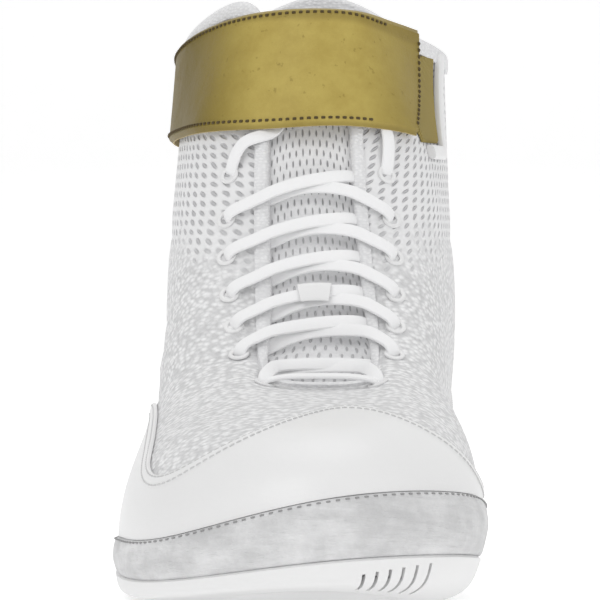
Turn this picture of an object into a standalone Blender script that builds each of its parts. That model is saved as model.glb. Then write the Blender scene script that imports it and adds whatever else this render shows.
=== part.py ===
"""Right wrestling shoe in metres, +Z up, toe towards -Y, big toe's side towards +X.

One surface carries the whole upper. It runs round the foot (u: 0 at the toe, 1 at the heel, lateral side
between, back over the medial side to 2) and up from the sole (v: 0 at the feather line, 1 at the edge of
throat and collar). Every overlay is a slice between two offsets of that surface.
"""

import math

import bpy
import numpy as np

# Main sizes
LENGTH = 0.288
BALL_WIDTH = 0.102
COLLAR_HEIGHT = 0.176
SIDE_HEIGHT = 0.050
TOE_SPRING = 0.008
ARCH_RISE = 0.0035

# Walls and layers
CLEARANCE = 0.0003
WALL = 0.0018
SOLE_FOREFOOT = 0.0055
SOLE_HEEL = 0.009
SOLE_WALL = 0.0016
SOLE_EDGE_ROUNDING = 0.011
INSOLE_THICKNESS = 0.003
INSOLE_CLEARANCE = 0.0005
RAND_THICKNESS = 0.0013
RAND_SWELL = 0.0007
OVERLAY_THICKNESS = 0.0009
BINDING_WIDTH = 0.004
BINDING_THICKNESS = 0.0009
TONGUE_THICKNESS = 0.0026
TONGUE_CLEARANCE = 0.0006
TONGUE_TUCK = 0.009
TONGUE_DIP = 0.0012

# Heights of the side's lines: outsole wall and rand, at their tallest place
SOLE_LINE = 0.0165
RAND_LINE = 0.032

# Tread: cross grooves, as shares of the length, and upright slots in the toe's wall
GROOVES = (0.235, 0.268, 0.301, 0.415, 0.448, 0.745, 0.778, 0.898, 0.930)
GROOVE_DEPTH = 0.0014
GROOVE_WIDTH = 0.003
SLOTS = 6
SLOT_START = 0.0200
SLOT_PITCH = 0.0034
SLOT_WIDTH = 0.0009
SLOT_DEPTH = 0.0008
SLOT_HEIGHT = 0.0030
SLOT_GROWTH = 0.0004
SLOT_REACH = 0.005
SLOT_DROP = 0.0065
BOX_FACES = ((0, 2, 3, 1), (4, 5, 7, 6), (0, 1, 5, 4), (2, 6, 7, 3), (0, 4, 6, 2), (1, 3, 7, 5))

# Eyelets and lace
EYELET_RADIUS = 0.0030
EYELET_HOLE = 0.0017
EYELET_THICKNESS = 0.0007
EYELET_SEAT = 0.0002
EYELET_INSET_LOW = 0.0115
EYELET_INSET_HIGH = 0.0160
EYELET_SIDES = 8
LACE_WIDTH = 0.0040
LACE_THICKNESS = 0.0013
LACE_LIFT = 0.0028
LACE_OVERLAP = 0.0004
LACE_BOW = 0.0012

# Strap and its fastening
STRAP_WIDTH = 0.037
STRAP_THICKNESS = 0.0016
STRAP_DROP = 0.047
STRAP_BOTTOM = COLLAR_HEIGHT - STRAP_DROP
STRAP_FRONT_RUN = 0.5625 * LENGTH
STRAP_SLOPE_TOP = 0.20
STRAP_SLOPE_LATERAL = 0.05
STRAP_SLOPE_MEDIAL = 0.17
STRAP_ANCHOR_RUN = 0.896 * LENGTH
STRAP_END = 0.304 * BALL_WIDTH
STRAP_SEAT_LATERAL = 0.0017
STRAP_SEAT_THROAT = 0.0036
STRAP_SEAT_MEDIAL = 0.0017
PATCH_THICKNESS = 0.0008
PATCH_DROP = 0.003
PATCH_HEIGHT = 0.0265
PATCH_BINDING_WIDTH = 0.0036
PATCH_BINDING_THICKNESS = 0.0012

LACE_ARCH = 0.0085

# Routes of the lace ends: share of the collar's height, place across the throat, lift over the upper
LATERAL_END = (
    (0.682, 2.00, 0.0033),
    (0.703, 1.60, 0.0032),
    (0.717, 1.12, 0.0026),
    (0.726, 0.70, 0.0010),
    (0.757, 0.50, 0.0004),
    (0.807, 0.42, 0.0004),
)
MEDIAL_END = (
    (0.682, 2.00, 0.0030),
    (0.707, 2.04, 0.0024),
    (0.739, 1.97, 0.0017),
    (0.785, 1.75, 0.0015),
    (0.845, 1.50, 0.0015),
)

# Lace keeper on the tongue
KEEPER_WIDTH = 0.0096
KEEPER_HEIGHT = 0.0062
KEEPER_THICKNESS = 0.0007
KEEPER_RISE = 0.477 * COLLAR_HEIGHT

# Sections of the last from toe to heel. run: share of the length behind the toe; lateral and medial:
# share of half the ball width; up: share of the side's or the collar's height.
SECTIONS = 11
ORIGIN_RUN = 0.5 * LENGTH - 0.0004
FOOTPRINT = (
    # run, lateral, medial, lateral bulge and medial bulge in metres above the feather line
    (0.012, -0.16, 0.16, 0.0022, 0.0022),
    (0.060, 0.55, 0.74, 0.0020, 0.0042),
    (0.174, 0.87, 0.885, 0.0008, 0.0036),
    (0.320, 0.94, 0.865, 0.0005, 0.0033),
    (0.450, 0.87, 0.755, 0.0012, 0.0022),
    (0.560, 0.77, 0.66, 0.0032, 0.0032),
    (0.650, 0.715, 0.625, 0.0038, 0.0038),
    (0.725, 0.69, 0.63, 0.0040, 0.0040),
    (0.805, 0.68, 0.645, 0.0040, 0.0040),
    (0.920, 0.575, 0.565, 0.0036, 0.0036),
    (0.984, 0.00, 0.00, 0.0030, 0.0030),
)
SIDE_RING = (
    # run, up (share of SIDE_HEIGHT), lateral, medial
    (0.026, 0.80, -0.18, 0.18),
    (0.084, 0.79, 0.50, 0.73),
    (0.190, 0.84, 0.72, 0.865),
    (0.328, 0.93, 0.785, 0.865),
    (0.454, 0.98, 0.845, 0.805),
    (0.564, 1.00, 0.855, 0.795),
    (0.652, 1.00, 0.85, 0.80),
    (0.728, 1.00, 0.84, 0.81),
    (0.808, 1.00, 0.80, 0.79),
    (0.925, 1.00, 0.63, 0.63),
    (0.990, 1.00, 0.00, 0.00),
)
CROWN_RING = (
    # run, up (share of COLLAR_HEIGHT), lateral, medial
    (0.130, 0.292, -0.20, 0.20),
    (0.160, 0.288, 0.22, 0.56),
    (0.236, 0.298, 0.43, 0.66),
    (0.356, 0.332, 0.57, 0.67),
    (0.448, 0.410, 0.67, 0.675),
    (0.532, 0.515, 0.735, 0.70),
    (0.600, 0.580, 0.79, 0.75),
    (0.672, 0.600, 0.835, 0.785),
    (0.760, 0.605, 0.84, 0.80),
    (0.885, 0.605, 0.635, 0.635),
    (0.942, 0.605, 0.00, 0.00),
)
EDGE_RING = (
    # run, up lateral, up medial (shares of COLLAR_HEIGHT), lateral, medial
    (0.347, 0.321, 0.321, -0.11, 0.11),
    (0.349, 0.324, 0.324, 0.08, 0.30),
    (0.364, 0.343, 0.343, 0.20, 0.395),
    (0.413, 0.403, 0.403, 0.21, 0.37),
    (0.476, 0.524, 0.524, 0.23, 0.315),
    (0.541, 0.710, 0.710, 0.255, 0.26),
    (0.596, 0.895, 0.880, 0.285, 0.275),
    (0.645, 0.945, 0.905, 0.48, 0.46),
    (0.742, 0.892, 0.872, 0.77, 0.74),
    (0.886, 0.898, 0.890, 0.635, 0.635),
    (0.955, 0.985, 0.985, 0.00, 0.00),
)
BULGE_LEVEL = 0.0115

# Height of the outsole wall and rand as shares of SOLE_LINE and RAND_LINE, and the panel line as a share
# of the way up (v), at each section
SIDE_LINES = (
    # sole lateral, sole medial, rand lateral, rand medial, panel lateral, panel medial
    (0.95, 0.95, 0.98, 0.98, 0.54, 0.54),
    (0.60, 1.00, 0.66, 1.01, 0.265, 0.46),
    (0.46, 0.80, 0.57, 0.89, 0.36, 0.32),
    (0.43, 0.60, 0.49, 0.74, 0.49, 0.28),
    (0.47, 0.53, 0.52, 0.62, 0.45, 0.26),
    (0.57, 0.58, 0.60, 0.60, 0.26, 0.24),
    (0.64, 0.64, 0.63, 0.63, 0.20, 0.20),
    (0.68, 0.68, 0.65, 0.65, 0.22, 0.22),
    (0.70, 0.70, 0.66, 0.66, 0.28, 0.28),
    (0.74, 0.74, 0.68, 0.68, 0.36, 0.36),
    (0.80, 0.80, 0.70, 0.70, 0.42, 0.42),
)

# Grid of the surface: columns of facets between one section and the next, and rows on the side's lines
SECTION_COLUMNS = (5, 4, 3, 3, 3, 3, 3, 3, 3, 3)
HALF = sum(SECTION_COLUMNS)
COLUMNS = 2 * HALF
SOLE_ROW, RAND_ROW, PANEL_ROW, BAND_ROW, RIM_ROW = 1, 3, 6, 9, 10
ACROSS = 3

# Where pieces start and stop, in sections from the toe
OVERLAY_LATERAL, OVERLAY_MEDIAL = 5, 5
COUNTER_START = 6
TONGUE_START, TONGUE_END = 1.6, 5.9
PATCH_START, PATCH_END = 6.45, 7.15
EYELET_SHARES = (0.327, 0.369, 0.412, 0.463, 0.523, 0.585, 0.659)
EYELET_HEIGHTS = tuple(share * COLLAR_HEIGHT for share in EYELET_SHARES)


def column_at(section):
    """Column of a place given in sections from the toe."""
    return float(np.interp(section, np.arange(SECTIONS), np.concatenate([[0], np.cumsum(SECTION_COLUMNS)])))


def periodic_weights(u, count):
    """Weights of count points, evenly spread over u = 0 to 2, in a closed cubic spline."""
    step = 2.0 / count
    points = np.eye(count)
    ahead, behind = np.roll(points, 1, axis=1), np.roll(points, -1, axis=1)
    bends = np.linalg.solve(4 * points + ahead + behind, 6 * (ahead - 2 * points + behind) / step**2)
    place = np.asarray(u, float) % 2.0 / step
    first = np.floor(place).astype(int) % count
    then = (first + 1) % count
    b = (place - np.floor(place))[..., None]
    a = 1 - b
    curve = (a**3 - a) * bends[first] + (b**3 - b) * bends[then]
    return a * points[first] + b * points[then] + curve * step**2 / 6


def natural_curve(points, v):
    """Points at v, from 0 to 1, on the natural cubic splines through rows of points, spaced by length."""
    count = points.shape[-2]
    lengths = np.linalg.norm(np.diff(points, axis=-2), axis=-1)
    steps = lengths / lengths.sum(axis=-1, keepdims=True)
    knots = np.concatenate([np.zeros(steps.shape[:-1] + (1,)), np.cumsum(steps, axis=-1)], axis=-1)
    left = np.zeros(steps.shape[:-1] + (count, count))
    right = np.zeros_like(points)
    left[..., 0, 0] = left[..., -1, -1] = 1
    slopes = np.diff(points, axis=-2) / steps[..., None]
    for k in range(1, count - 1):
        left[..., k, k - 1] = steps[..., k - 1]
        left[..., k, k] = 2 * (steps[..., k - 1] + steps[..., k])
        left[..., k, k + 1] = steps[..., k]
        right[..., k, :] = 6 * (slopes[..., k, :] - slopes[..., k - 1, :])
    bends = np.linalg.solve(left, right)
    first = np.clip((v[..., None] >= knots[..., 1:-1]).sum(axis=-1), 0, count - 2)

    def pick(rows, place):
        return np.take_along_axis(rows, place[..., None, None], axis=-2)[..., 0, :]

    step = pick(steps[..., None], first)
    b = (v[..., None] - pick(knots[..., None], first)) / step
    a = 1 - b
    curve = (a**3 - a) * pick(bends, first) + (b**3 - b) * pick(bends, first + 1)
    return a * pick(points, first) + b * pick(points, first + 1) + curve * step**2 / 6


def around(lateral, medial):
    """One closed ring of values from those of the two sides, both given from toe to heel."""
    return np.concatenate([lateral, medial[-2:0:-1]])


def smooth(share):
    share = np.clip(share, 0.0, 1.0)
    return share * share * (3 - 2 * share)


def tread_height(run):
    """Underside of the sole above the floor, by distance behind the toe: toe spring, arch, heel bevel."""
    spring = TOE_SPRING * np.clip(1 - run / (0.22 * LENGTH), 0, 1) ** 2
    arch_share = np.clip((run / LENGTH - 0.46) / 0.27, 0, 1)
    bevel = 0.4 * TOE_SPRING * np.clip((run / LENGTH - 0.945) / 0.055, 0, 1) ** 2
    return spring + ARCH_RISE * np.sin(math.pi * arch_share) ** 2 + bevel


def bed_height(run):
    """Upper face of the sole above the floor."""
    spring = TOE_SPRING * np.clip(1 - run / (0.22 * LENGTH), 0, 1) ** 2
    raised = (SOLE_HEEL - SOLE_FOREFOOT) * smooth((run / LENGTH - 0.42) / 0.30)
    return spring + SOLE_FOREFOOT + raised


def control_rings():
    """Five closed rings of points from the feather line to the edge, in (x, run, z)."""
    half = BALL_WIDTH / 2
    foot, side = np.array(FOOTPRINT), np.array(SIDE_RING)
    crown, edge = np.array(CROWN_RING), np.array(EDGE_RING)
    run = foot[:, 0] * LENGTH
    bulge, medial_bulge = foot[:, 3], foot[:, 4]
    ends = np.zeros(SECTIONS)
    ends[0], ends[-1] = -1, 1
    sides = np.ones(SECTIONS)
    sides[0] = sides[-1] = 0

    def ring(runs, heights, lateral, medial, medial_heights=None):
        out = around(-lateral, medial)
        up = around(heights, heights if medial_heights is None else medial_heights)
        return np.stack([out, around(runs, runs), up], axis=1)

    bed = bed_height(run)
    return np.array(
        [
            ring(run, bed, foot[:, 1] * half, foot[:, 2] * half),
            ring(
                run + ends * bulge,
                bed + BULGE_LEVEL,
                foot[:, 1] * half + sides * bulge,
                foot[:, 2] * half + sides * medial_bulge,
            ),
            ring(side[:, 0] * LENGTH, side[:, 1] * SIDE_HEIGHT, side[:, 2] * half, side[:, 3] * half),
            ring(crown[:, 0] * LENGTH, crown[:, 1] * COLLAR_HEIGHT, crown[:, 2] * half, crown[:, 3] * half),
            ring(
                edge[:, 0] * LENGTH,
                edge[:, 1] * COLLAR_HEIGHT,
                edge[:, 3] * half,
                edge[:, 4] * half,
                edge[:, 2] * COLLAR_HEIGHT,
            ),
        ]
    )


def surface(u, v):
    """Points of the upper's outer face, (x, y, z), for arrays u and v of one shape."""
    rings = np.einsum("...c,rck->...rk", periodic_weights(u, 2 * (SECTIONS - 1)), control_rings())
    points = natural_curve(rings, np.asarray(v, float))
    points[..., 1] -= ORIGIN_RUN
    return points


def outward(u, v):
    """Outward unit normals of the surface."""
    step = 1e-4
    along = surface(u + step, v) - surface(u - step, v)
    upper, lower = np.minimum(v + step, 1.0), np.maximum(v - step, 0.0)
    up = surface(u, upper) - surface(u, lower)
    normal = np.cross(up, along)
    return normal / np.linalg.norm(normal, axis=-1, keepdims=True)


def height_line(u, heights):
    """v where the surface reaches the given heights, low on the side."""
    low, high = np.zeros_like(u), np.full_like(u, 0.6)
    for _ in range(30):
        middle = (low + high) / 2
        below = surface(u, middle)[..., 2] < heights
        low, high = np.where(below, middle, low), np.where(below, high, middle)
    return (low + high) / 2


def surface_grid():
    """Rows of v for every column, laid on the outsole wall, rand, panel and binding lines."""
    half = np.interp(np.arange(HALF + 1), [column_at(k) for k in range(SECTIONS)], np.linspace(0, 1, SECTIONS))
    u = np.concatenate([half, 2 - half[-2:0:-1]])
    lines = np.array(SIDE_LINES)
    weights = periodic_weights(u, 2 * (SECTIONS - 1))
    sole = weights @ around(lines[:, 0], lines[:, 1]) * SOLE_LINE
    rand = weights @ around(lines[:, 2], lines[:, 3]) * RAND_LINE
    panel = weights @ around(lines[:, 4], lines[:, 5])
    sole, rand = height_line(u, sole), height_line(u, rand)
    panel = np.maximum(panel, rand + 0.03)
    near_edge = surface(u, np.full_like(u, 0.98)) - surface(u, np.ones_like(u))
    band = 1 - 0.02 * BINDING_WIDTH / np.linalg.norm(near_edge, axis=1)
    lines = [(0, np.zeros_like(u)), (SOLE_ROW, sole), (RAND_ROW, rand), (PANEL_ROW, panel)]
    lines += [(BAND_ROW, band), (RIM_ROW, np.ones_like(u))]
    rows = []
    for (row, line), (next_row, next_line) in zip(lines, lines[1:]):
        for k in range(next_row - row):
            rows.append(line + (next_line - line) * k / (next_row - row))
    rows.append(lines[-1][1])
    v = np.array(rows)
    u = np.broadcast_to(u, v.shape)
    normals = outward(u, v)
    normals[0, :, 2] = 0
    normals[0] /= np.linalg.norm(normals[0], axis=1, keepdims=True)
    return surface(u, v), normals


OUTER, NORMALS = surface_grid()


def skin(row, column, offset):
    """A point at a height over the facets of the upper, at a row and column that need not be whole."""
    row, column, offset = np.broadcast_arrays(*(np.asarray(a, float) for a in (row, column, offset)))
    low = np.clip(np.floor(row).astype(int), 0, RIM_ROW - 1)
    first = np.floor(column).astype(int)
    a, b = (row - low)[..., None], (column - first)[..., None]
    first, then = first % COLUMNS, (first + 1) % COLUMNS

    def blend(grid):
        here, across = grid[low, first], grid[low + 1, then]
        above = here * (1 - a) + grid[low + 1, first] * (a - b) + across * b
        below = here * (1 - b) + grid[low, then] * (b - a) + across * a
        return np.where(a >= b, above, below)

    normal = blend(NORMALS)
    normal /= np.linalg.norm(normal, axis=-1, keepdims=True)
    return blend(OUTER) + normal * offset[..., None]


def row_at_inset(column, inset):
    """The row at a distance below the edge, along a column's facets."""
    column, inset = np.broadcast_arrays(np.asarray(column, float), np.asarray(inset, float))
    found = []
    for place, depth in zip(column.ravel(), inset.ravel()):
        line = skin(np.arange(RIM_ROW, -1, -1), np.full(RIM_ROW + 1, place), 0.0)
        lengths = np.linalg.norm(np.diff(line, axis=0), axis=1)
        found.append(RIM_ROW - np.interp(depth, np.concatenate([[0], np.cumsum(lengths)]), np.arange(RIM_ROW + 1)))
    return np.array(found).reshape(column.shape)


def eyelet_inset(column):
    """Distance of the eyelet line below the edge, by lateral column."""
    share = smooth((column - column_at(3)) / (column_at(5) - column_at(3)))
    return EYELET_INSET_LOW + (EYELET_INSET_HIGH - EYELET_INSET_LOW) * share


def bridge(column, across, offset):
    """A point over the throat: across runs from -1 at the lateral edge to 1 at the medial one.

    Past 1 it goes on over the upper, and 2 is the eyelet line."""
    side = np.where(across < 0, column, COLUMNS - column)
    row = row_at_inset(side, (np.clip(np.abs(across), 1, None) - 1) * eyelet_inset(column))
    on_upper = skin(row, side, offset)
    left, right = skin(RIM_ROW, column, offset), skin(RIM_ROW, COLUMNS - column, offset)
    left_in = left - skin(BAND_ROW, column, offset)
    right_in = right - skin(BAND_ROW, COLUMNS - column, offset)
    span = np.linalg.norm(right - left, axis=-1, keepdims=True)
    left_in *= span / np.linalg.norm(left_in, axis=-1, keepdims=True)
    right_in *= span / np.linalg.norm(right_in, axis=-1, keepdims=True)
    t = np.clip((np.asarray(across) + 1) / 2, 0, 1)[..., None]
    over = (
        left * (2 * t**3 - 3 * t**2 + 1)
        + right * (3 * t**2 - 2 * t**3)
        + left_in * (t**3 - 2 * t**2 + t)
        - right_in * (t**3 - t**2)
    )
    return np.where((np.abs(across) > 1)[..., None], on_upper, over)


def strap_slope(level, low):
    """Slope of a strap line: low at the strap's lower edge, and one slope for both sides at its upper edge."""
    return low + (STRAP_SLOPE_TOP - low) * (level - STRAP_BOTTOM) / STRAP_WIDTH


def strap_rise(points, level, slope):
    """Height of points over a strap line, which falls towards the heel from its level at the front."""
    return points[..., 2] + slope * (points[..., 1] + ORIGIN_RUN - STRAP_FRONT_RUN) - level


def row_at_level(column, level, slope=0.0):
    """The row where a column's facets meet a strap line."""
    line = skin(np.arange(RIM_ROW + 1), np.full(RIM_ROW + 1, column), 0.0)
    rise = strap_rise(line, level, slope)
    above = np.nonzero(rise > 0)[0]
    if len(above) == 0:
        return float(RIM_ROW)
    k = max(above[0], 1)
    return k - rise[k] / (rise[k] - rise[k - 1])


def throat_column(level):
    """The column where a strap line meets the edge of the throat."""
    columns = np.linspace(column_at(3.5), column_at(6.6), 261)
    slope = strap_slope(level, STRAP_SLOPE_LATERAL)
    rise = strap_rise(skin(float(RIM_ROW), columns, 0.0), level, slope)
    return columns[np.argmax(rise > 0)]


def eyelet_columns(side):
    """Columns of the eyelet line at the eyelets' heights: side is -1 for lateral, 1 for medial."""
    columns = np.linspace(3, column_at(6), 85)
    places = columns if side < 0 else COLUMNS - columns
    heights = skin(row_at_inset(places, eyelet_inset(columns)), places, 0.0)[:, 2]
    return [float(np.interp(h, heights, columns)) for h in EYELET_HEIGHTS]


def material(name, colour, roughness, metallic=0.0):
    made = bpy.data.materials.new(name)
    made.use_nodes = True
    shader = made.node_tree.nodes["Principled BSDF"]
    shader.inputs["Base Color"].default_value = (*colour, 1.0)
    shader.inputs["Roughness"].default_value = roughness
    shader.inputs["Metallic"].default_value = metallic
    return made


def add_object(name, points, faces, finish):
    mesh = bpy.data.meshes.new(name)
    mesh.from_pydata([tuple(float(c) for c in p) for p in points], [], faces)
    mesh.materials.append(finish)
    mesh.validate()
    mesh.shade_smooth()
    mesh.set_sharp_from_angle(angle=math.radians(40))
    made = bpy.data.objects.new(name, mesh)
    bpy.context.scene.collection.objects.link(made)
    return made


def grid_faces(rows, columns, wrap_rows, wrap_columns, turn=None):
    """Triangles of a grid whose points are numbered row by row. From row turn on, they are cut the other way,

    so that the inner face of a layer has the same facets as the face that it lies on."""
    faces = []
    for r in range(rows if wrap_rows else rows - 1):
        for c in range(columns if wrap_columns else columns - 1):
            r2, c2 = (r + 1) % rows, (c + 1) % columns
            here, up = r * columns + c, r2 * columns + c
            beside, across = r * columns + c2, r2 * columns + c2
            if turn is None or r < turn:
                faces += [(here, up, across), (here, across, beside)]
            else:
                faces += [(here, up, beside), (up, across, beside)]
    return faces


def closed_band(name, loop, finish, wrap):
    """A solid from rows of points that run round its section, as a closed ring or as a strip with ends."""
    loop = np.asarray(loop)
    rows, columns = loop.shape[:2]
    faces = grid_faces(rows, columns, True, wrap, rows // 2)
    if not wrap:
        half = rows // 2
        for c, turned in ((0, False), (columns - 1, True)):
            for r in range(half - 1):
                quad = [r, rows - 1 - r, rows - 2 - r, r + 1]
                quad = [k * columns + c for k in quad]
                faces.append(tuple(reversed(quad)) if turned else tuple(quad))
    return add_object(name, loop.reshape(-1, 3), faces, finish)


def slab(rows, columns, inner, outer):
    """Section rows of a layer on the upper: outer face going up, then inner face coming down."""
    columns = np.asarray(columns, float)
    up = [skin(np.full(len(columns), r), columns, o) for r, o in zip(rows, outer)]
    down = [skin(np.full(len(columns), r), columns, o) for r, o in zip(rows, inner)]
    return up + down[::-1]


def build_upper(finish):
    outer = [OUTER[r] for r in range(RIM_ROW + 1)]
    inner = [OUTER[r] - NORMALS[r] * WALL for r in range(RIM_ROW + 1)]
    return closed_band("upper", outer + inner[::-1], finish, True)


def across_faces(ring_start, inside_start, turned):
    """Faces that fill a ring of points with a grid, whose inside points are numbered section by section."""
    def at(section, place):
        if place == 0:
            return ring_start + section
        if place == ACROSS:
            return ring_start + COLUMNS - section
        return inside_start + (section - 1) * (ACROSS - 1) + place - 1

    faces = []
    for place in range(ACROSS):
        faces.append((ring_start, at(1, place), at(1, place + 1)))
        last = ring_start + HALF
        faces.append((at(HALF - 1, place + 1), at(HALF - 1, place), last))
        for section in range(1, HALF - 1):
            corners = (at(section, place), at(section + 1, place), at(section + 1, place + 1), at(section, place + 1))
            faces.append(corners)
    return [tuple(reversed(f)) for f in faces] if turned else faces


def inside_points(ring, height):
    """Points between the two sides of a ring, section by section, at a height that follows the run."""
    points = []
    for section in range(1, HALF):
        lateral, medial = ring[section], ring[COLUMNS - section]
        for place in range(1, ACROSS):
            point = lateral + (medial - lateral) * place / ACROSS
            point[2] = height(point[1] + ORIGIN_RUN)
            points.append(point)
    return np.array(points)


def box_corners(centre, along, out, up):
    """Eight corners of a box given by its centre and half sizes as three vectors, right-handed."""
    centre, along, out, up = (np.asarray(a, float) for a in (centre, along, out, up))
    return np.array([centre + a * along + b * out + c * up for c in (-1, 1) for b in (-1, 1) for a in (-1, 1)])


def groove_boxes():
    """One box a cross groove, from under the floor to the groove's depth."""
    boxes = []
    for share in GROOVES:
        top = tread_height(share * LENGTH) + GROOVE_DEPTH
        centre = (0, share * LENGTH - ORIGIN_RUN, top - LENGTH / 2)
        boxes.append(box_corners(centre, (LENGTH / 2, 0, 0), (0, GROOVE_WIDTH / 2, 0), (0, 0, LENGTH / 2)))
    return boxes


def slot_boxes(wall):
    """One box a flex slot, upright on the big toe's side of the toe's wall, given the wall's upper ring."""
    boxes = []
    front = np.arange(COLUMNS - 1, COLUMNS - round(column_at(3)), -1)
    for k in range(SLOTS):
        across = SLOT_START + k * SLOT_PITCH
        column = np.interp(across, wall[front, 0], front)
        share = column - math.floor(column)
        first, then = math.floor(column) % COLUMNS, (math.floor(column) + 1) % COLUMNS
        face = wall[first] * (1 - share) + wall[then] * share
        along = wall[first] - wall[then]
        along[2] = 0
        along /= np.linalg.norm(along)
        out = np.cross(along, (0, 0, -1))
        tall = SLOT_HEIGHT + k * SLOT_GROWTH
        centre = face + out * (SLOT_REACH - SLOT_DEPTH)
        centre[2] = face[2] - SLOT_DROP
        boxes.append(box_corners(centre, along * SLOT_WIDTH / 2, out * SLOT_REACH, (0, 0, tall)))
    return boxes


def build_outsole(finish):
    columns = np.arange(COLUMNS)
    bed_ring = skin(0.0, columns, CLEARANCE)
    bed_ring[:, 2] -= CLEARANCE
    wall_in = skin(float(SOLE_ROW), columns, CLEARANCE)
    wall_out = skin(float(SOLE_ROW), columns, CLEARANCE + SOLE_WALL)
    flat = NORMALS[0]
    run = OUTER[0][:, 1] + ORIGIN_RUN
    tread = tread_height(run)
    belly = OUTER[0] + flat * (CLEARANCE + 0.4 * SOLE_WALL)
    belly[:, 2] = np.minimum(tread + 0.45 * (wall_out[:, 2] - tread), OUTER[0][:, 2] - 0.4 * SOLE_WALL)
    edge = OUTER[0] - flat * SOLE_EDGE_ROUNDING
    edge[:, 2] = tread
    corner = OUTER[0] - flat * 0.45 * SOLE_EDGE_ROUNDING
    corner[:, 2] = tread + np.minimum(0.16 * SOLE_EDGE_ROUNDING, 0.5 * (belly[:, 2] - tread))
    rings = [edge, corner, belly, wall_out, wall_in, bed_ring]
    underside = inside_points(edge, tread_height)
    bed = inside_points(bed_ring, lambda r: bed_height(r) - CLEARANCE)
    points = np.concatenate([*rings, underside, bed])
    faces = grid_faces(len(rings), COLUMNS, False, True)
    count = len(rings) * COLUMNS
    faces += across_faces(0, count, False)
    faces += across_faces((len(rings) - 1) * COLUMNS, count + len(underside), True)
    sole = add_object("outsole", points, faces, finish)
    for name, corners in (("tread_cutter", groove_boxes()), ("slot_cutter", slot_boxes(wall_out))):
        points = np.concatenate(corners)
        faces = [tuple(8 * k + i for i in face) for k in range(len(corners)) for face in BOX_FACES]
        cutter = add_object(name, points, faces, finish)
        cutter.hide_render = True
        cutter.display_type = "WIRE"
        cut = sole.modifiers.new(name, "BOOLEAN")
        cut.operation = "DIFFERENCE"
        cut.object = cutter
    return sole


def build_insole(finish):
    flat = NORMALS[0]
    low = OUTER[0] - flat * (WALL + INSOLE_CLEARANCE)
    high = low.copy()
    high[:, 2] += INSOLE_THICKNESS
    underside = inside_points(low, bed_height)
    top = inside_points(high, lambda r: bed_height(r) + INSOLE_THICKNESS)
    points = np.concatenate([low, high, underside, top])
    faces = grid_faces(2, COLUMNS, False, True)
    faces += across_faces(0, 2 * COLUMNS, False)
    faces += across_faces(COLUMNS, 2 * COLUMNS + len(underside), True)
    return add_object("insole", points, faces, finish)


def build_tongue(finish):
    across = np.linspace(-1.7, 1.7, 9)
    middle = len(across) // 2
    columns = np.arange(round(column_at(TONGUE_START)), round(column_at(TONGUE_END)) + 1)
    top = -(WALL + TONGUE_CLEARANCE)

    def face(offset):
        rows = [bridge(np.full(len(across), float(c)), across, np.full(len(across), offset)) for c in columns]
        tuck = rows[0] + (rows[0] - rows[1]) * TONGUE_TUCK / np.linalg.norm(rows[1][middle] - rows[0][middle])
        tuck[:, 2] = rows[0][:, 2] - TONGUE_DIP - 0.12 * np.abs(rows[0][:, 0] - rows[0][middle, 0])
        return [tuck] + rows

    upper_face = np.array(face(top)).swapaxes(0, 1)
    lower_face = np.array(face(top - TONGUE_THICKNESS)).swapaxes(0, 1)
    loop = list(upper_face) + list(lower_face[::-1])
    return closed_band("tongue", loop, finish, False)


def build_rand(finish):
    rows = [SOLE_ROW + 0.12, 0.5 * (SOLE_ROW + RAND_ROW), RAND_ROW - 0.08]
    top = CLEARANCE + RAND_THICKNESS
    loop = slab(rows, np.arange(COLUMNS), [CLEARANCE] * 3, [top, top + RAND_SWELL, top - RAND_SWELL / 2])
    return closed_band("rand", loop, finish, True)


def build_overlay(name, first, last, finish):
    """A leather panel from the rand's upper edge to the panel line, between two columns."""
    rows = [RAND_ROW + 0.08] + list(range(RAND_ROW + 1, PANEL_ROW + 1))
    top = CLEARANCE + OVERLAY_THICKNESS
    columns = np.arange(round(first), round(last) + 1)
    loop = slab(rows, columns, [CLEARANCE] * len(rows), [top] * len(rows))
    return closed_band(name, loop, finish, False)


def build_edge_binding(finish):
    """A strip over the edge of throat and collar: up the outside, over the rim and down to its inner face."""
    rim, band = OUTER[RIM_ROW], OUTER[BAND_ROW]
    over = rim - band
    over /= np.linalg.norm(over, axis=1, keepdims=True)
    normal = NORMALS[RIM_ROW]
    far = CLEARANCE + BINDING_THICKNESS
    inner = -0.8 * WALL
    loop = [
        band + NORMALS[BAND_ROW] * far,
        rim + normal * far + over * CLEARANCE,
        rim + normal * 0.2 * far + over * (far + CLEARANCE),
        rim + normal * inner + over * (far + CLEARANCE),
        rim + normal * inner + over * 1.6 * CLEARANCE,
        rim + normal * CLEARANCE + over * 1.6 * CLEARANCE,
        band + NORMALS[BAND_ROW] * CLEARANCE,
    ]
    return closed_band("edge_binding", loop, finish, True)


def sweep(name, centres, normals, section, finish):
    """A solid whose section (side, out) follows a path, with flat ends."""
    centres, normals = np.asarray(centres), np.asarray(normals)
    along = np.gradient(centres, axis=0)
    along /= np.linalg.norm(along, axis=1, keepdims=True)
    sideways = np.cross(along, normals)
    sideways /= np.linalg.norm(sideways, axis=1, keepdims=True)
    out = np.cross(sideways, along)
    loop = np.array([centres + sideways * a + out * b for a, b in section])
    sides, columns = loop.shape[:2]
    faces = grid_faces(sides, columns, True, False)
    faces.append(tuple(k * columns for k in reversed(range(sides))))
    faces.append(tuple(k * columns + columns - 1 for k in range(sides)))
    return add_object(name, loop.reshape(-1, 3), faces, finish)


def flat_oval(width, thickness):
    """Section of a flat woven lace, six sides."""
    half, edge, top = width / 2, width / 2 - thickness / 2, thickness / 2
    return ((-half, 0), (-edge, top), (edge, top), (half, 0), (edge, -top), (-edge, -top))


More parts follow.
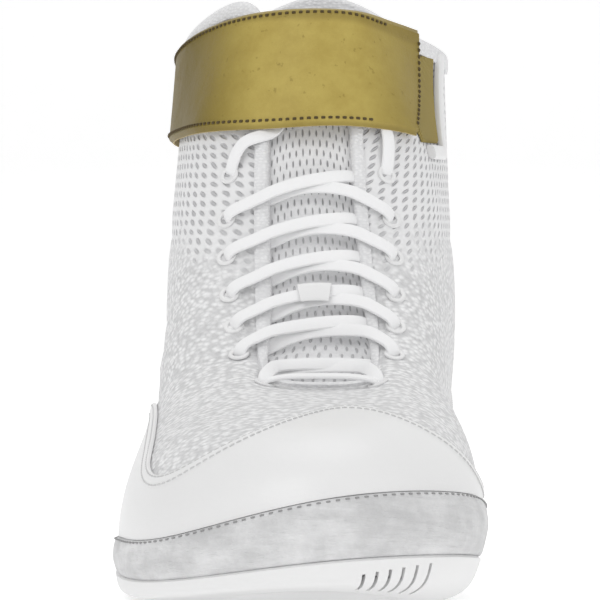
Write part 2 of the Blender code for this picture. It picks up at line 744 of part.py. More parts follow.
def throat_path(columns, across, lift):
    """Points and outward directions of a path over the throat."""
    columns, across, lift = (np.asarray(a, float) for a in (columns, across, lift))
    points = bridge(columns, across, lift)
    normals = bridge(columns, across, lift + 0.001) - points
    return points, normals / np.linalg.norm(normals, axis=1, keepdims=True)


def build_eyelets(finish):
    """A ring round each lace hole, in the plane that lies on the upper there."""
    for side, turned in (("lateral", -1), ("medial", 1)):
        for row, column in enumerate(eyelet_columns(turned), start=1):
            place = column if turned < 0 else COLUMNS - column
            level = row_at_inset(place, eyelet_inset(column))
            middle = skin(level, place, 0.0)
            along = skin(level, place + 0.5, 0.0) - skin(level, place - 0.5, 0.0)
            up = skin(level + 0.5, place, 0.0) - skin(level - 0.5, place, 0.0)
            normal = np.cross(up, along)
            normal /= np.linalg.norm(normal)
            reach = np.linspace(-1, 1, 9) * (EYELET_RADIUS + CLEARANCE)
            rows, places = np.meshgrid(level + reach / np.linalg.norm(up), place + reach / np.linalg.norm(along))
            under = skin(rows, places, 0.0) - middle
            near = np.linalg.norm(under, axis=2) < EYELET_RADIUS + CLEARANCE
            low = middle + normal * ((under @ normal)[near].max() + EYELET_SEAT)
            first = np.cross(normal, (0.0, 0.0, 1.0))
            first /= np.linalg.norm(first)
            second = np.cross(normal, first)
            turn = 2 * np.pi * np.arange(EYELET_SIDES)[:, None] / EYELET_SIDES
            round_it = first * np.cos(turn) + second * np.sin(turn)
            high = low + normal * EYELET_THICKNESS
            loop = [
                low + round_it * EYELET_RADIUS,
                high + round_it * (EYELET_RADIUS + EYELET_HOLE) / 2,
                low + round_it * EYELET_HOLE,
            ]
            closed_band(f"eyelet_{side}_{row}", np.array(loop)[::-1], finish, True)


def column_at_height(across, height, lift):
    """The column where a line over the throat, at one place across it, reaches a height."""
    columns = np.linspace(2, column_at(6.8), 97)
    heights = bridge(columns, np.full(97, float(across)), np.full(97, lift))[:, 2]
    return float(np.interp(height, heights, columns))


def lace_bar(name, start, end, sides, lift, finish):
    """One run of lace from an eyelet column on one side to one on the other, arched over the tongue."""
    share = np.linspace(-0.02, 1.02, 7)
    ends = bridge(np.array([start, end]), np.array(sides, float), np.zeros(2))[:, 2]
    middle = column_at_height(0, ends.mean() + LACE_ARCH, lift + LACE_BOW)
    columns = start + (end - start) * share + (middle - (start + end) / 2) * np.sin(np.pi * share)
    across = sides[0] + (sides[1] - sides[0]) * share
    lifts = lift + LACE_BOW * np.sin(np.pi * np.clip(share, 0, 1)) ** 2
    points, normals = throat_path(columns, across, lifts)
    return sweep(name, points, normals, flat_oval(LACE_WIDTH, LACE_THICKNESS), finish)


def build_lace(finish):
    """The bottom bar and every crossing, joined where runs cross and where they turn at an eyelet."""
    columns = {side: eyelet_columns(side) for side in (-1, 1)}
    whole = lace_bar("lace_crossings", columns[-1][0], columns[1][0], (-2, 2), LACE_LIFT, finish)
    for row in range(len(EYELET_HEIGHTS) - 1):
        for side in (-1, 1):
            lift = LACE_LIFT + (LACE_OVERLAP if side > 0 else 0)
            start, end = columns[side][row], columns[-side][row + 1]
            bar = lace_bar(f"lace_run_{row}_{side}", start, end, (2 * side, -2 * side), lift, finish)
            bar.hide_render = True
            bar.display_type = "WIRE"
            union = whole.modifiers.new(bar.name, "BOOLEAN")
            union.operation = "UNION"
            union.object = bar


def build_lace_end(name, side, route, finish):
    """A lace end from above its top eyelet up under the strap: route holds (share up, across, lift)."""
    line = smooth_route(route)
    columns = [column_at_height(side * across, up * COLLAR_HEIGHT, 0.0) for up, across, _ in line]
    points, normals = throat_path(columns, side * line[:, 1], line[:, 2])
    return sweep(name, points, normals, flat_oval(LACE_WIDTH, LACE_THICKNESS), finish)


def smooth_route(route):
    """Points along a smooth curve through a route's own points."""
    route = np.array(route)
    at = np.linspace(0, 1, 2 * len(route) + 1)
    return natural_curve(np.broadcast_to(route, (len(at), *route.shape)), at)


def strap_point(column, level, slope, offset):
    """A point of a strap line over a column, which goes straight on up where the line passes the edge."""
    point = skin(row_at_level(column, level, slope), column, offset)
    point[2] -= strap_rise(point, level, slope)
    return point


def strap_line(level, share):
    """Points of one line of the strap, from its end on the medial side to its anchor on the lateral side."""
    edge = throat_column(level)
    anchor = column_at(SECTIONS - 2)
    lateral = np.linspace(edge, anchor, 25)
    medial = COLUMNS - lateral[:12]

    def seat(columns, far):
        away = np.clip(np.abs(columns - edge) / 5.0, 0, 1)
        return STRAP_SEAT_THROAT + (far - STRAP_SEAT_THROAT) * away

    slope = strap_slope(level, STRAP_SLOPE_LATERAL)
    left = [strap_point(c, level, slope, o) for c, o in zip(lateral, seat(lateral, STRAP_SEAT_LATERAL))]
    slope = strap_slope(level, STRAP_SLOPE_MEDIAL)
    offsets = seat(COLUMNS - medial, STRAP_SEAT_MEDIAL)
    right = [strap_point(c, level, slope, o) for c, o in zip(medial, offsets)]
    left, right = np.array(left), np.array(right)
    left = left[left[:, 1] < STRAP_ANCHOR_RUN - ORIGIN_RUN]
    right = right[right[:, 0] < STRAP_END]
    span = np.linalg.norm(left[0] - right[0])
    t = np.linspace(0, 1, 9)[1:-1, None]
    from_right = (right[0] - right[2]) / np.linalg.norm(right[0] - right[2]) * span
    from_left = (left[0] - left[2]) / np.linalg.norm(left[0] - left[2]) * span
    front = (
        right[0] * (2 * t**3 - 3 * t**2 + 1)
        + left[0] * (3 * t**2 - 2 * t**3)
        + from_right * (t**3 - 2 * t**2 + t)
        - from_left * (t**3 - t**2)
    )
    line = np.concatenate([right[::-1], front, left])
    length = np.concatenate([[0], np.cumsum(np.linalg.norm(np.diff(line, axis=0), axis=1))])
    return np.stack([np.interp(share * length[-1], length, line[:, k]) for k in range(3)], axis=1)


def build_strap(finish):
    share = np.linspace(0, 1, 30)
    levels = STRAP_BOTTOM + STRAP_WIDTH * np.linspace(0, 1, 4)
    inner = np.array([strap_line(level, share) for level in levels])
    normals = np.cross(np.gradient(inner, axis=0), np.gradient(inner, axis=1))
    normals /= np.linalg.norm(normals, axis=2, keepdims=True)
    outer = inner + normals * STRAP_THICKNESS
    return closed_band("ankle_strap", list(outer) + list(inner[::-1]), finish, False)


def build_patch(finish):
    low, high = STRAP_BOTTOM - PATCH_DROP, STRAP_BOTTOM - PATCH_DROP + PATCH_HEIGHT
    first, last = column_at(PATCH_START), column_at(PATCH_END)
    columns = COLUMNS - np.array([first, *range(math.ceil(first), math.floor(last) + 1), last])[::-1]
    top = CLEARANCE + PATCH_THICKNESS
    rows = [[row_at_level(c, level) for c in columns] for level in np.linspace(low, high, 4)]
    outer = [skin(np.array(r), columns, top) for r in rows]
    inner = [skin(np.array(r), columns, CLEARANCE) for r in rows]
    return closed_band("strap_patch", outer + inner[::-1], finish, False)


def build_patch_binding(finish):
    """The padded strip behind the patch, which turns forward below it."""
    low, high = STRAP_BOTTOM - PATCH_DROP, STRAP_BOTTOM - PATCH_DROP + PATCH_HEIGHT
    beside = column_at(PATCH_END) + 0.35
    below = low - PATCH_BINDING_WIDTH / 2 - 4 * CLEARANCE
    level = np.concatenate([np.linspace(high, below + 0.0012, 7), np.full(8, below)])
    column = np.concatenate([np.full(7, beside), np.linspace(beside - 0.2, column_at(PATCH_START) + 0.6, 8)])
    place = COLUMNS - column
    rows = np.array([row_at_level(c, z) for c, z in zip(place, level)])
    points = skin(rows, place, CLEARANCE + 0.0003)
    normals = skin(rows, place, 1.0) - skin(rows, place, 0.0)
    half, top = PATCH_BINDING_WIDTH / 2, PATCH_BINDING_THICKNESS
    section = ((-half, 0), (-half, 0.6 * top), (-0.5 * half, top), (0.5 * half, top), (half, 0.6 * top), (half, 0))
    return sweep("patch_binding", points, normals, section, finish)


def build_keeper(finish):
    """A small curved tab that lies on the lace over the middle of the tongue."""
    column = column_at_height(0, KEEPER_RISE, LACE_LIFT + LACE_BOW)
    lift = LACE_LIFT + LACE_BOW + LACE_OVERLAP + LACE_THICKNESS / 2 + 2 * CLEARANCE
    reach = KEEPER_WIDTH / np.linalg.norm(np.ptp(bridge(np.full(2, column), np.array([-1, 1]), np.zeros(2)), axis=0))
    points, normals = throat_path(np.full(5, column), np.linspace(-reach, reach, 5), np.full(5, lift))
    half = KEEPER_HEIGHT / 2
    section = ((-half, 0), (-half, KEEPER_THICKNESS), (half, KEEPER_THICKNESS), (half, 0))
    return sweep("lace_keeper", points, normals, section, finish)


def clear_scene():
    for old in list(bpy.data.objects):
        bpy.data.objects.remove(old, do_unlink=True)


def main():
    clear_scene()
    mesh_fabric = material("white_mesh", (0.86, 0.87, 0.88), 0.8)
    leather = material("white_leather", (0.88, 0.88, 0.88), 0.45)
    suede = material("grey_white_suede", (0.72, 0.72, 0.72), 0.9)
    rubber = material("pale_rubber", (0.80, 0.80, 0.80), 0.55)
    lining = material("white_lining", (0.75, 0.75, 0.76), 0.85)
    webbing = material("white_lace", (0.90, 0.90, 0.90), 0.7)
    gold = material("gold_leather", (0.50, 0.40, 0.12), 0.5)
    gold_loop = material("gold_loop_fabric", (0.42, 0.33, 0.10), 0.9)
    build_upper(mesh_fabric)
    build_outsole(rubber)
    build_insole(lining)
    build_tongue(mesh_fabric)
    build_rand(suede)
    build_overlay("toe_overlay", -column_at(OVERLAY_MEDIAL), column_at(OVERLAY_LATERAL), leather)
    start = column_at(COUNTER_START)
    build_overlay("heel_counter", start, COLUMNS - start, leather)
    build_edge_binding(leather)
    build_eyelets(leather)
    build_lace(webbing)
    build_lace_end("lace_end_lateral", -1, LATERAL_END, webbing)
    build_lace_end("lace_end_medial", 1, MEDIAL_END, webbing)
    build_keeper(webbing)
    build_strap(gold)
    build_patch(gold_loop)
    build_patch_binding(leather)


main()
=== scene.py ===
"""Dressed right wrestling shoe: the part's own surface on a finer grid, with cloth, leather and thread."""

import math

import bmesh
import bpy
import numpy as np
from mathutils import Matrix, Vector

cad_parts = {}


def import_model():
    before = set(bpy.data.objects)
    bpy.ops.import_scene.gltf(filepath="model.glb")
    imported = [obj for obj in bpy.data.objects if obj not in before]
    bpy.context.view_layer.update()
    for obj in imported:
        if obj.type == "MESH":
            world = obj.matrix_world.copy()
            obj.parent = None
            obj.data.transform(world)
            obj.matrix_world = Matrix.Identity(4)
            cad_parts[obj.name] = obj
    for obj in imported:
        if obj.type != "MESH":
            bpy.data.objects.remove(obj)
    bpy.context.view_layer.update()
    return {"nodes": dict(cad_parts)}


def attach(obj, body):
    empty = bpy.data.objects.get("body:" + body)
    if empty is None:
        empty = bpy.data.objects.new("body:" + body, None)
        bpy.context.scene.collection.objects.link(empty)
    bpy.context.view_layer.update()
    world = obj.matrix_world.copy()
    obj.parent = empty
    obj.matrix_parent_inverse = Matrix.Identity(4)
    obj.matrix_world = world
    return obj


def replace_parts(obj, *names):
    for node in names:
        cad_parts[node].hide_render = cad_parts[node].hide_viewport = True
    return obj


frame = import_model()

# Main sizes
LENGTH = 0.288
BALL_WIDTH = 0.102
COLLAR_HEIGHT = 0.176
SIDE_HEIGHT = 0.050
TOE_SPRING = 0.008
ARCH_RISE = 0.0035

# Walls and layers
CLEARANCE = 0.0003
WALL = 0.0018
SOLE_FOREFOOT = 0.0055
SOLE_HEEL = 0.009
SOLE_WALL = 0.0016
SOLE_EDGE_ROUNDING = 0.011
SOLE_LIP = 0.0004
SOLE_ACROSS = 17
RAND_THICKNESS = 0.0013
RAND_SWELL = 0.0007
RAND_EDGE = 0.0015
RAND_WRINKLE = 0.00022
RAND_WRINKLE_PITCH = 0.0016
OVERLAY_THICKNESS = 0.0009
OVERLAY_EDGE = 0.0006
OVERLAY_SEAM = 0.0008
OVERLAY_HEM = 0.0032
OVERLAY_GROOVE = 0.00025
BINDING_WIDTH = 0.004
BINDING_THICKNESS = 0.0009
COLLAR_SEAM_INSET = 0.0048
COLLAR_SEAM_REACH = 45
TONGUE_THICKNESS = 0.0026
TONGUE_CLEARANCE = 0.0006
TONGUE_TUCK = 0.009
TONGUE_DIP = 0.0012

# Heights of the side's lines: outsole wall and rand, at their tallest place
SOLE_LINE = 0.0165
RAND_LINE = 0.032

# Tread: cross grooves, as shares of the length, and upright slots in the toe's wall
GROOVES = (0.235, 0.268, 0.301, 0.415, 0.448, 0.745, 0.778, 0.898, 0.930)
GROOVE_DEPTH = 0.0014
GROOVE_WIDTH = 0.003
SLOTS = 6
SLOT_START = 0.0200
SLOT_PITCH = 0.0034
SLOT_WIDTH = 0.0009
SLOT_DEPTH = 0.0008
SLOT_SUNK = 0.22
SLOT_HEIGHT = 0.0030
SLOT_GROWTH = 0.0004
SLOT_REACH = 0.005
SLOT_DROP = 0.0065
BOX_FACES = ((0, 2, 3, 1), (4, 5, 7, 6), (0, 1, 5, 4), (2, 6, 7, 3), (0, 4, 6, 2), (1, 3, 7, 5))

# Eyelets and lace
EYELET_RADIUS = 0.0030
EYELET_HOLE = 0.0017
EYELET_RISE = 0.0003
EYELET_SWELL = 0.0005
EYELET_INSET_LOW = 0.0115
EYELET_INSET_HIGH = 0.0160
LACE_WIDTH = 0.0040
LACE_THICKNESS = 0.0013
LACE_LIFT = 0.0028
LACE_BOW = 0.0012
BAR_DEPTHS = (0.0035, 0.0022, 0.0009)
ROUTE_SCALE = (1000, 12, 1000)

# Strap and its fastening
STRAP_WIDTH = 0.037
STRAP_THICKNESS = 0.0016
STRAP_DROP = 0.047
STRAP_BOTTOM = COLLAR_HEIGHT - STRAP_DROP
STRAP_FRONT_RUN = 0.5625 * LENGTH
STRAP_SLOPE_TOP = 0.20
STRAP_SLOPE_LATERAL = 0.05
STRAP_SLOPE_MEDIAL = 0.17
STRAP_ANCHOR_RUN = 0.896 * LENGTH
STRAP_END = 0.304 * BALL_WIDTH
STRAP_SEAT_LATERAL = 0.0017
STRAP_SEAT_THROAT = 0.0036
STRAP_SEAT_MEDIAL = 0.0017
STRAP_EDGE = 0.0007
STRAP_SEAM_INSET = 0.0021
STRAP_SEAM_START = 16
STRAP_END_INSET = 0.0016
PATCH_THICKNESS = 0.0008
PATCH_EDGE = 0.0006
PATCH_DROP = 0.003
PATCH_HEIGHT = 0.0265
PATCH_LONGER = 0.17
PATCH_LEAN = 0.45
PATCH_BINDING_WIDTH = 0.0036
PATCH_BINDING_THICKNESS = 0.0012

# Routes of the lace ends: share of the collar's height, place across the throat, lift over the upper
LATERAL_END = (
    (0.682, 2.00, 0.0033),
    (0.703, 1.60, 0.0032),
    (0.717, 1.12, 0.0026),
    (0.726, 0.70, 0.0010),
    (0.757, 0.50, 0.0004),
    (0.807, 0.42, 0.0004),
)
MEDIAL_END = (
    (0.682, 2.00, 0.0030),
    (0.707, 2.04, 0.0024),
    (0.739, 1.97, 0.0017),
    (0.785, 1.75, 0.0015),
    (0.845, 1.50, 0.0015),
)

# Lace keeper on the tongue
KEEPER_WIDTH = 0.0096
KEEPER_HEIGHT = 0.0062
KEEPER_THICKNESS = 0.0007
KEEPER_RISE = 0.477 * COLLAR_HEIGHT
KEEPER_LOWER = 0.0018
KEEPER_LATERAL = -1.05
KEEPER_MEDIAL = 0.65

# Meshes and finishes
SHARP_ANGLE = math.radians(40)
WELD_DISTANCE = 1e-6
EDGE_FALL = 0.96
RIB_PITCH = 0.9

# The photo's camera: its turn to the medial side in degrees, and its place
CAMERA_TURN = 2.3
CAMERA_DROP_PIXELS = 70
FOCAL_PIXELS = 3957
IMAGE_PIXELS = 600
SENSOR_WIDTH = 36.0
CAMERA_DISTANCE = 1.09
CAMERA_PIVOT = -0.054
CAMERA_HEIGHT = 0.100

# Sections of the last from toe to heel. run: share of the length behind the toe; lateral and medial:
# share of half the ball width; up: share of the side's or the collar's height.
SECTIONS = 11
ORIGIN_RUN = 0.5 * LENGTH - 0.0004
FOOTPRINT = (
    # run, lateral, medial, lateral bulge and medial bulge in metres above the feather line
    (0.012, -0.16, 0.16, 0.0022, 0.0022),
    (0.060, 0.55, 0.74, 0.0020, 0.0042),
    (0.174, 0.87, 0.885, 0.0008, 0.0036),
    (0.320, 0.94, 0.865, 0.0005, 0.0033),
    (0.450, 0.87, 0.755, 0.0012, 0.0022),
    (0.560, 0.77, 0.66, 0.0032, 0.0032),
    (0.650, 0.715, 0.625, 0.0038, 0.0038),
    (0.725, 0.69, 0.63, 0.0040, 0.0040),
    (0.805, 0.68, 0.645, 0.0040, 0.0040),
    (0.920, 0.575, 0.565, 0.0036, 0.0036),
    (0.984, 0.00, 0.00, 0.0030, 0.0030),
)
SIDE_RING = (
    # run, up (share of SIDE_HEIGHT), lateral, medial
    (0.026, 0.80, -0.18, 0.18),
    (0.084, 0.79, 0.50, 0.73),
    (0.190, 0.84, 0.72, 0.865),
    (0.328, 0.93, 0.785, 0.865),
    (0.454, 0.98, 0.845, 0.805),
    (0.564, 1.00, 0.855, 0.795),
    (0.652, 1.00, 0.85, 0.80),
    (0.728, 1.00, 0.84, 0.81),
    (0.808, 1.00, 0.80, 0.79),
    (0.925, 1.00, 0.63, 0.63),
    (0.990, 1.00, 0.00, 0.00),
)
CROWN_RING = (
    # run, up (share of COLLAR_HEIGHT), lateral, medial
    (0.130, 0.292, -0.20, 0.20),
    (0.160, 0.288, 0.22, 0.56),
    (0.236, 0.298, 0.43, 0.66),
    (0.356, 0.332, 0.57, 0.67),
    (0.448, 0.410, 0.67, 0.675),
    (0.532, 0.515, 0.735, 0.70),
    (0.600, 0.580, 0.79, 0.75),
    (0.672, 0.600, 0.835, 0.785),
    (0.760, 0.605, 0.84, 0.80),
    (0.885, 0.605, 0.635, 0.635),
    (0.942, 0.605, 0.00, 0.00),
)
EDGE_RING = (
    # run, up lateral, up medial (shares of COLLAR_HEIGHT), lateral, medial
    (0.347, 0.321, 0.321, -0.11, 0.11),
    (0.349, 0.324, 0.324, 0.08, 0.30),
    (0.364, 0.343, 0.343, 0.20, 0.395),
    (0.413, 0.403, 0.403, 0.21, 0.37),
    (0.476, 0.524, 0.524, 0.23, 0.315),
    (0.541, 0.710, 0.710, 0.255, 0.26),
    (0.596, 0.895, 0.880, 0.285, 0.275),
    (0.645, 0.945, 0.905, 0.48, 0.46),
    (0.742, 0.892, 0.872, 0.77, 0.74),
    (0.886, 0.898, 0.890, 0.635, 0.635),
    (0.955, 0.985, 0.985, 0.00, 0.00),
)
BULGE_LEVEL = 0.0115

# Height of the outsole wall and rand as shares of SOLE_LINE and RAND_LINE, and the panel line as a share
# of the way up (v), at each section
SIDE_LINES = (
    # sole lateral, sole medial, rand lateral, rand medial, panel lateral, panel medial
    (0.95, 0.95, 0.98, 0.98, 0.54, 0.54),
    (0.60, 1.00, 0.66, 1.01, 0.265, 0.46),
    (0.46, 0.80, 0.57, 0.89, 0.36, 0.32),
    (0.43, 0.60, 0.49, 0.74, 0.49, 0.28),
    (0.47, 0.53, 0.52, 0.62, 0.45, 0.26),
    (0.57, 0.58, 0.60, 0.60, 0.26, 0.24),
    (0.64, 0.64, 0.63, 0.63, 0.20, 0.20),
    (0.68, 0.68, 0.65, 0.65, 0.22, 0.22),
    (0.70, 0.70, 0.66, 0.66, 0.28, 0.28),
    (0.74, 0.74, 0.68, 0.68, 0.36, 0.36),
    (0.80, 0.80, 0.70, 0.70, 0.42, 0.42),
)

# Grid of the surface: columns between one section and the next, and rows on the side's lines
SECTION_COLUMNS = (25, 20, 15, 15, 15, 15, 15, 15, 15, 15)
HALF = sum(SECTION_COLUMNS)
COLUMNS = 2 * HALF
SOLE_ROW, RAND_ROW, PANEL_ROW, BAND_ROW, RIM_ROW = 6, 18, 36, 60, 64
OVERLAY_LATERAL, OVERLAY_MEDIAL = 5, 5
COUNTER_START = 6
# The rand in rows: its foot over the sole's line, its gap under the leather and its seam
RAND_FOOT, RAND_GAP, RAND_SEAM = 0.02 * SOLE_ROW, 0.04, 0.75
TONGUE_START, TONGUE_END = 1.6, 5.9
PATCH_START, PATCH_END = 6.45, 7.15
EYELET_SHARES = (0.327, 0.369, 0.412, 0.463, 0.523, 0.585, 0.659)
EYELET_HEIGHTS = tuple(share * COLLAR_HEIGHT for share in EYELET_SHARES)


def lengths_along(points, axis=0):
    """Distance along lines of points, from the first point of each."""
    steps = np.linalg.norm(np.diff(points, axis=axis), axis=-1)
    start = np.zeros_like(np.take(steps, [0], axis=axis))
    return np.concatenate([start, np.cumsum(steps, axis=axis)], axis=axis)


def points_at(places, lengths, line):
    """Points at the given places along a line whose own points are at the given lengths."""
    return np.stack([np.interp(places, lengths, line[:, k]) for k in range(3)], axis=-1)


def unit(vectors):
    return vectors / np.linalg.norm(vectors, axis=-1, keepdims=True)


def soften(line, rounds):
    """Evens out a line of values or points in place, and keeps its ends."""
    for _ in range(rounds):
        line[1:-1] = 0.25 * line[:-2] + 0.5 * line[1:-1] + 0.25 * line[2:]


def hermite(start, end, leaving, arriving, t):
    """A cubic from start to end, t from 0 to 1, with its directions at both."""
    return (
        start * (2 * t**3 - 3 * t**2 + 1)
        + end * (3 * t**2 - 2 * t**3)
        + leaving * (t**3 - 2 * t**2 + t)
        + arriving * (t**3 - t**2)
    )


def wrapped(outer, inner):
    """Rows of a section that runs up its outer face and back down its inner one."""
    return np.concatenate([outer, inner[::-1]])


def column_at(section):
    """Column of a place given in sections from the toe."""
    return float(np.interp(section, np.arange(SECTIONS), np.concatenate([[0], np.cumsum(SECTION_COLUMNS)])))


def periodic_weights(u, count):
    """Weights of count points, evenly spread over u = 0 to 2, in a closed cubic spline."""
    step = 2.0 / count
    points = np.eye(count)
    ahead, behind = np.roll(points, 1, axis=1), np.roll(points, -1, axis=1)
    bends = np.linalg.solve(4 * points + ahead + behind, 6 * (ahead - 2 * points + behind) / step**2)
    place = np.asarray(u, float) % 2.0 / step
    first = np.floor(place).astype(int) % count
    then = (first + 1) % count
    b = (place - np.floor(place))[..., None]
    a = 1 - b
    curve = (a**3 - a) * bends[first] + (b**3 - b) * bends[then]
    return a * points[first] + b * points[then] + curve * step**2 / 6


def natural_curve(points, v):
    """Points at v, from 0 to 1, on the natural cubic splines through rows of points, spaced by length."""
    count = points.shape[-2]
    lengths = np.linalg.norm(np.diff(points, axis=-2), axis=-1)
    steps = lengths / lengths.sum(axis=-1, keepdims=True)
    knots = np.concatenate([np.zeros(steps.shape[:-1] + (1,)), np.cumsum(steps, axis=-1)], axis=-1)
    left = np.zeros(steps.shape[:-1] + (count, count))
    right = np.zeros_like(points)
    left[..., 0, 0] = left[..., -1, -1] = 1
    slopes = np.diff(points, axis=-2) / steps[..., None]
    for k in range(1, count - 1):
        left[..., k, k - 1] = steps[..., k - 1]
        left[..., k, k] = 2 * (steps[..., k - 1] + steps[..., k])
        left[..., k, k + 1] = steps[..., k]
        right[..., k, :] = 6 * (slopes[..., k, :] - slopes[..., k - 1, :])
    bends = np.linalg.solve(left, right)
    first = np.clip((v[..., None] >= knots[..., 1:-1]).sum(axis=-1), 0, count - 2)

    def pick(rows, place):
        return np.take_along_axis(rows, place[..., None, None], axis=-2)[..., 0, :]

    step = pick(steps[..., None], first)
    b = (v[..., None] - pick(knots[..., None], first)) / step
    a = 1 - b
    curve = (a**3 - a) * pick(bends, first) + (b**3 - b) * pick(bends, first + 1)
    return a * pick(points, first) + b * pick(points, first + 1) + curve * step**2 / 6


def around(lateral, medial):
    """One closed ring of values from those of the two sides, both given from toe to heel."""
    return np.concatenate([lateral, medial[-2:0:-1]])


def smooth(share):
    share = np.clip(share, 0.0, 1.0)
    return share * share * (3 - 2 * share)


def tread_height(run):
    """Underside of the sole above the floor, by distance behind the toe: toe spring, arch, heel bevel."""
    spring = TOE_SPRING * np.clip(1 - run / (0.22 * LENGTH), 0, 1) ** 2
    arch_share = np.clip((run / LENGTH - 0.46) / 0.27, 0, 1)
    bevel = 0.4 * TOE_SPRING * np.clip((run / LENGTH - 0.945) / 0.055, 0, 1) ** 2
    return spring + ARCH_RISE * np.sin(math.pi * arch_share) ** 2 + bevel


def bed_height(run):
    """Upper face of the sole above the floor."""
    spring = TOE_SPRING * np.clip(1 - run / (0.22 * LENGTH), 0, 1) ** 2
    raised = (SOLE_HEEL - SOLE_FOREFOOT) * smooth((run / LENGTH - 0.42) / 0.30)
    return spring + SOLE_FOREFOOT + raised


def control_rings():
    """Five closed rings of points from the feather line to the edge, in (x, run, z)."""
    half = BALL_WIDTH / 2
    foot, side = np.array(FOOTPRINT), np.array(SIDE_RING)
    crown, edge = np.array(CROWN_RING), np.array(EDGE_RING)
    run = foot[:, 0] * LENGTH
    bulge, medial_bulge = foot[:, 3], foot[:, 4]
    ends = np.zeros(SECTIONS)
    ends[0], ends[-1] = -1, 1
    sides = np.ones(SECTIONS)
    sides[0] = sides[-1] = 0

    def ring(runs, heights, lateral, medial, medial_heights=None):
        out = around(-lateral, medial)
        up = around(heights, heights if medial_heights is None else medial_heights)
        return np.stack([out, around(runs, runs), up], axis=1)

    bed = bed_height(run)
    return np.array(
        [
            ring(run, bed, foot[:, 1] * half, foot[:, 2] * half),
            ring(
                run + ends * bulge,
                bed + BULGE_LEVEL,
                foot[:, 1] * half + sides * bulge,
                foot[:, 2] * half + sides * medial_bulge,
            ),
            ring(side[:, 0] * LENGTH, side[:, 1] * SIDE_HEIGHT, side[:, 2] * half, side[:, 3] * half),
            ring(crown[:, 0] * LENGTH, crown[:, 1] * COLLAR_HEIGHT, crown[:, 2] * half, crown[:, 3] * half),
            ring(
                edge[:, 0] * LENGTH,
                edge[:, 1] * COLLAR_HEIGHT,
                edge[:, 3] * half,
                edge[:, 4] * half,
                edge[:, 2] * COLLAR_HEIGHT,
            ),
        ]
    )


def surface(u, v):
    """Points of the upper's outer face, (x, y, z), for arrays u and v of one shape."""
    rings = np.einsum("...c,rck->...rk", periodic_weights(u, 2 * (SECTIONS - 1)), control_rings())
    points = natural_curve(rings, np.asarray(v, float))
    points[..., 1] -= ORIGIN_RUN
    return points


def outward(u, v):
    """Outward unit normals of the surface."""
    step = 1e-4
    along = surface(u + step, v) - surface(u - step, v)
    up = surface(u, np.minimum(v + step, 1.0)) - surface(u, np.maximum(v - step, 0.0))
    return unit(np.cross(up, along))


def height_line(u, heights):
    """v where the surface reaches the given heights, low on the side."""
    low, high = np.zeros_like(u), np.full_like(u, 0.6)
    for _ in range(30):
        middle = (low + high) / 2
        below = surface(u, middle)[..., 2] < heights
        low, high = np.where(below, middle, low), np.where(below, high, middle)
    return (low + high) / 2


def surface_grid():
    """Rows of v for every column, laid on the outsole wall, rand, panel and binding lines."""
    sections = [column_at(k) for k in range(SECTIONS)]
    half = np.interp(np.arange(HALF + 1), sections, np.linspace(0, 1, SECTIONS))
    u = np.concatenate([half, 2 - half[-2:0:-1]])
    lines = np.array(SIDE_LINES)
    weights = periodic_weights(u, 2 * (SECTIONS - 1))
    sole = weights @ around(lines[:, 0], lines[:, 1]) * SOLE_LINE
    rand = weights @ around(lines[:, 2], lines[:, 3]) * RAND_LINE
    panel = weights @ around(lines[:, 4], lines[:, 5])
    sole, rand = height_line(u, sole), height_line(u, rand)
    panel = np.maximum(panel, rand + 0.03)
    near_edge = surface(u, np.full_like(u, 0.98)) - surface(u, np.ones_like(u))
    band = 1 - 0.02 * BINDING_WIDTH / np.linalg.norm(near_edge, axis=1)
    lines = [(0, np.zeros_like(u)), (SOLE_ROW, sole), (RAND_ROW, rand), (PANEL_ROW, panel)]
    lines += [(BAND_ROW, band), (RIM_ROW, np.ones_like(u))]
    rows = []
    for (row, line), (next_row, next_line) in zip(lines, lines[1:]):
        for k in range(next_row - row):
            rows.append(line + (next_line - line) * k / (next_row - row))
    rows.append(lines[-1][1])
    v = np.array(rows)
    u = np.broadcast_to(u, v.shape)
    normals = outward(u, v)
    normals[0, :, 2] = 0
    normals[0] /= np.linalg.norm(normals[0], axis=1, keepdims=True)
    return surface(u, v), normals


OUTER, NORMALS = surface_grid()


def skin(row, column, offset):
    """A point at a height over the facets of the upper, at a row and column that need not be whole."""
    row, column, offset = np.broadcast_arrays(*(np.asarray(a, float) for a in (row, column, offset)))
    low = np.clip(np.floor(row).astype(int), 0, RIM_ROW - 1)
    first = np.floor(column).astype(int)
    a, b = (row - low)[..., None], (column - first)[..., None]
    first, then = first % COLUMNS, (first + 1) % COLUMNS

    def blend(grid):
        here, across = grid[low, first], grid[low + 1, then]
        above = here * (1 - a) + grid[low + 1, first] * (a - b) + across * b
        below = here * (1 - b) + grid[low, then] * (b - a) + across * a
        return np.where(a >= b, above, below)

    return blend(OUTER) + unit(blend(NORMALS)) * offset[..., None]


def column_blend(values, column):
    """Values of every row at columns that need not be whole: one line of rows for each column."""
    column = np.asarray(column, float).ravel()
    first = np.floor(column).astype(int)
    share = column - first
    return (values[:, first % COLUMNS] * (1 - share) + values[:, (first + 1) % COLUMNS] * share).T


# Distance below the edge, row by row, down each column
DOWN = lengths_along(OUTER[::-1])


def row_at_inset(column, inset):
    """The row at a distance below the edge, along a column."""
    column, inset = np.broadcast_arrays(np.asarray(column, float), np.asarray(inset, float))
    lengths, depth = column_blend(DOWN, column), inset.ravel()
    k = np.clip((lengths < depth[:, None]).sum(axis=1), 1, RIM_ROW)
    before = np.take_along_axis(lengths, k[:, None] - 1, axis=1)[:, 0]
    after = np.take_along_axis(lengths, k[:, None], axis=1)[:, 0]
    return (RIM_ROW - (k - 1 + (depth - before) / (after - before))).reshape(column.shape)


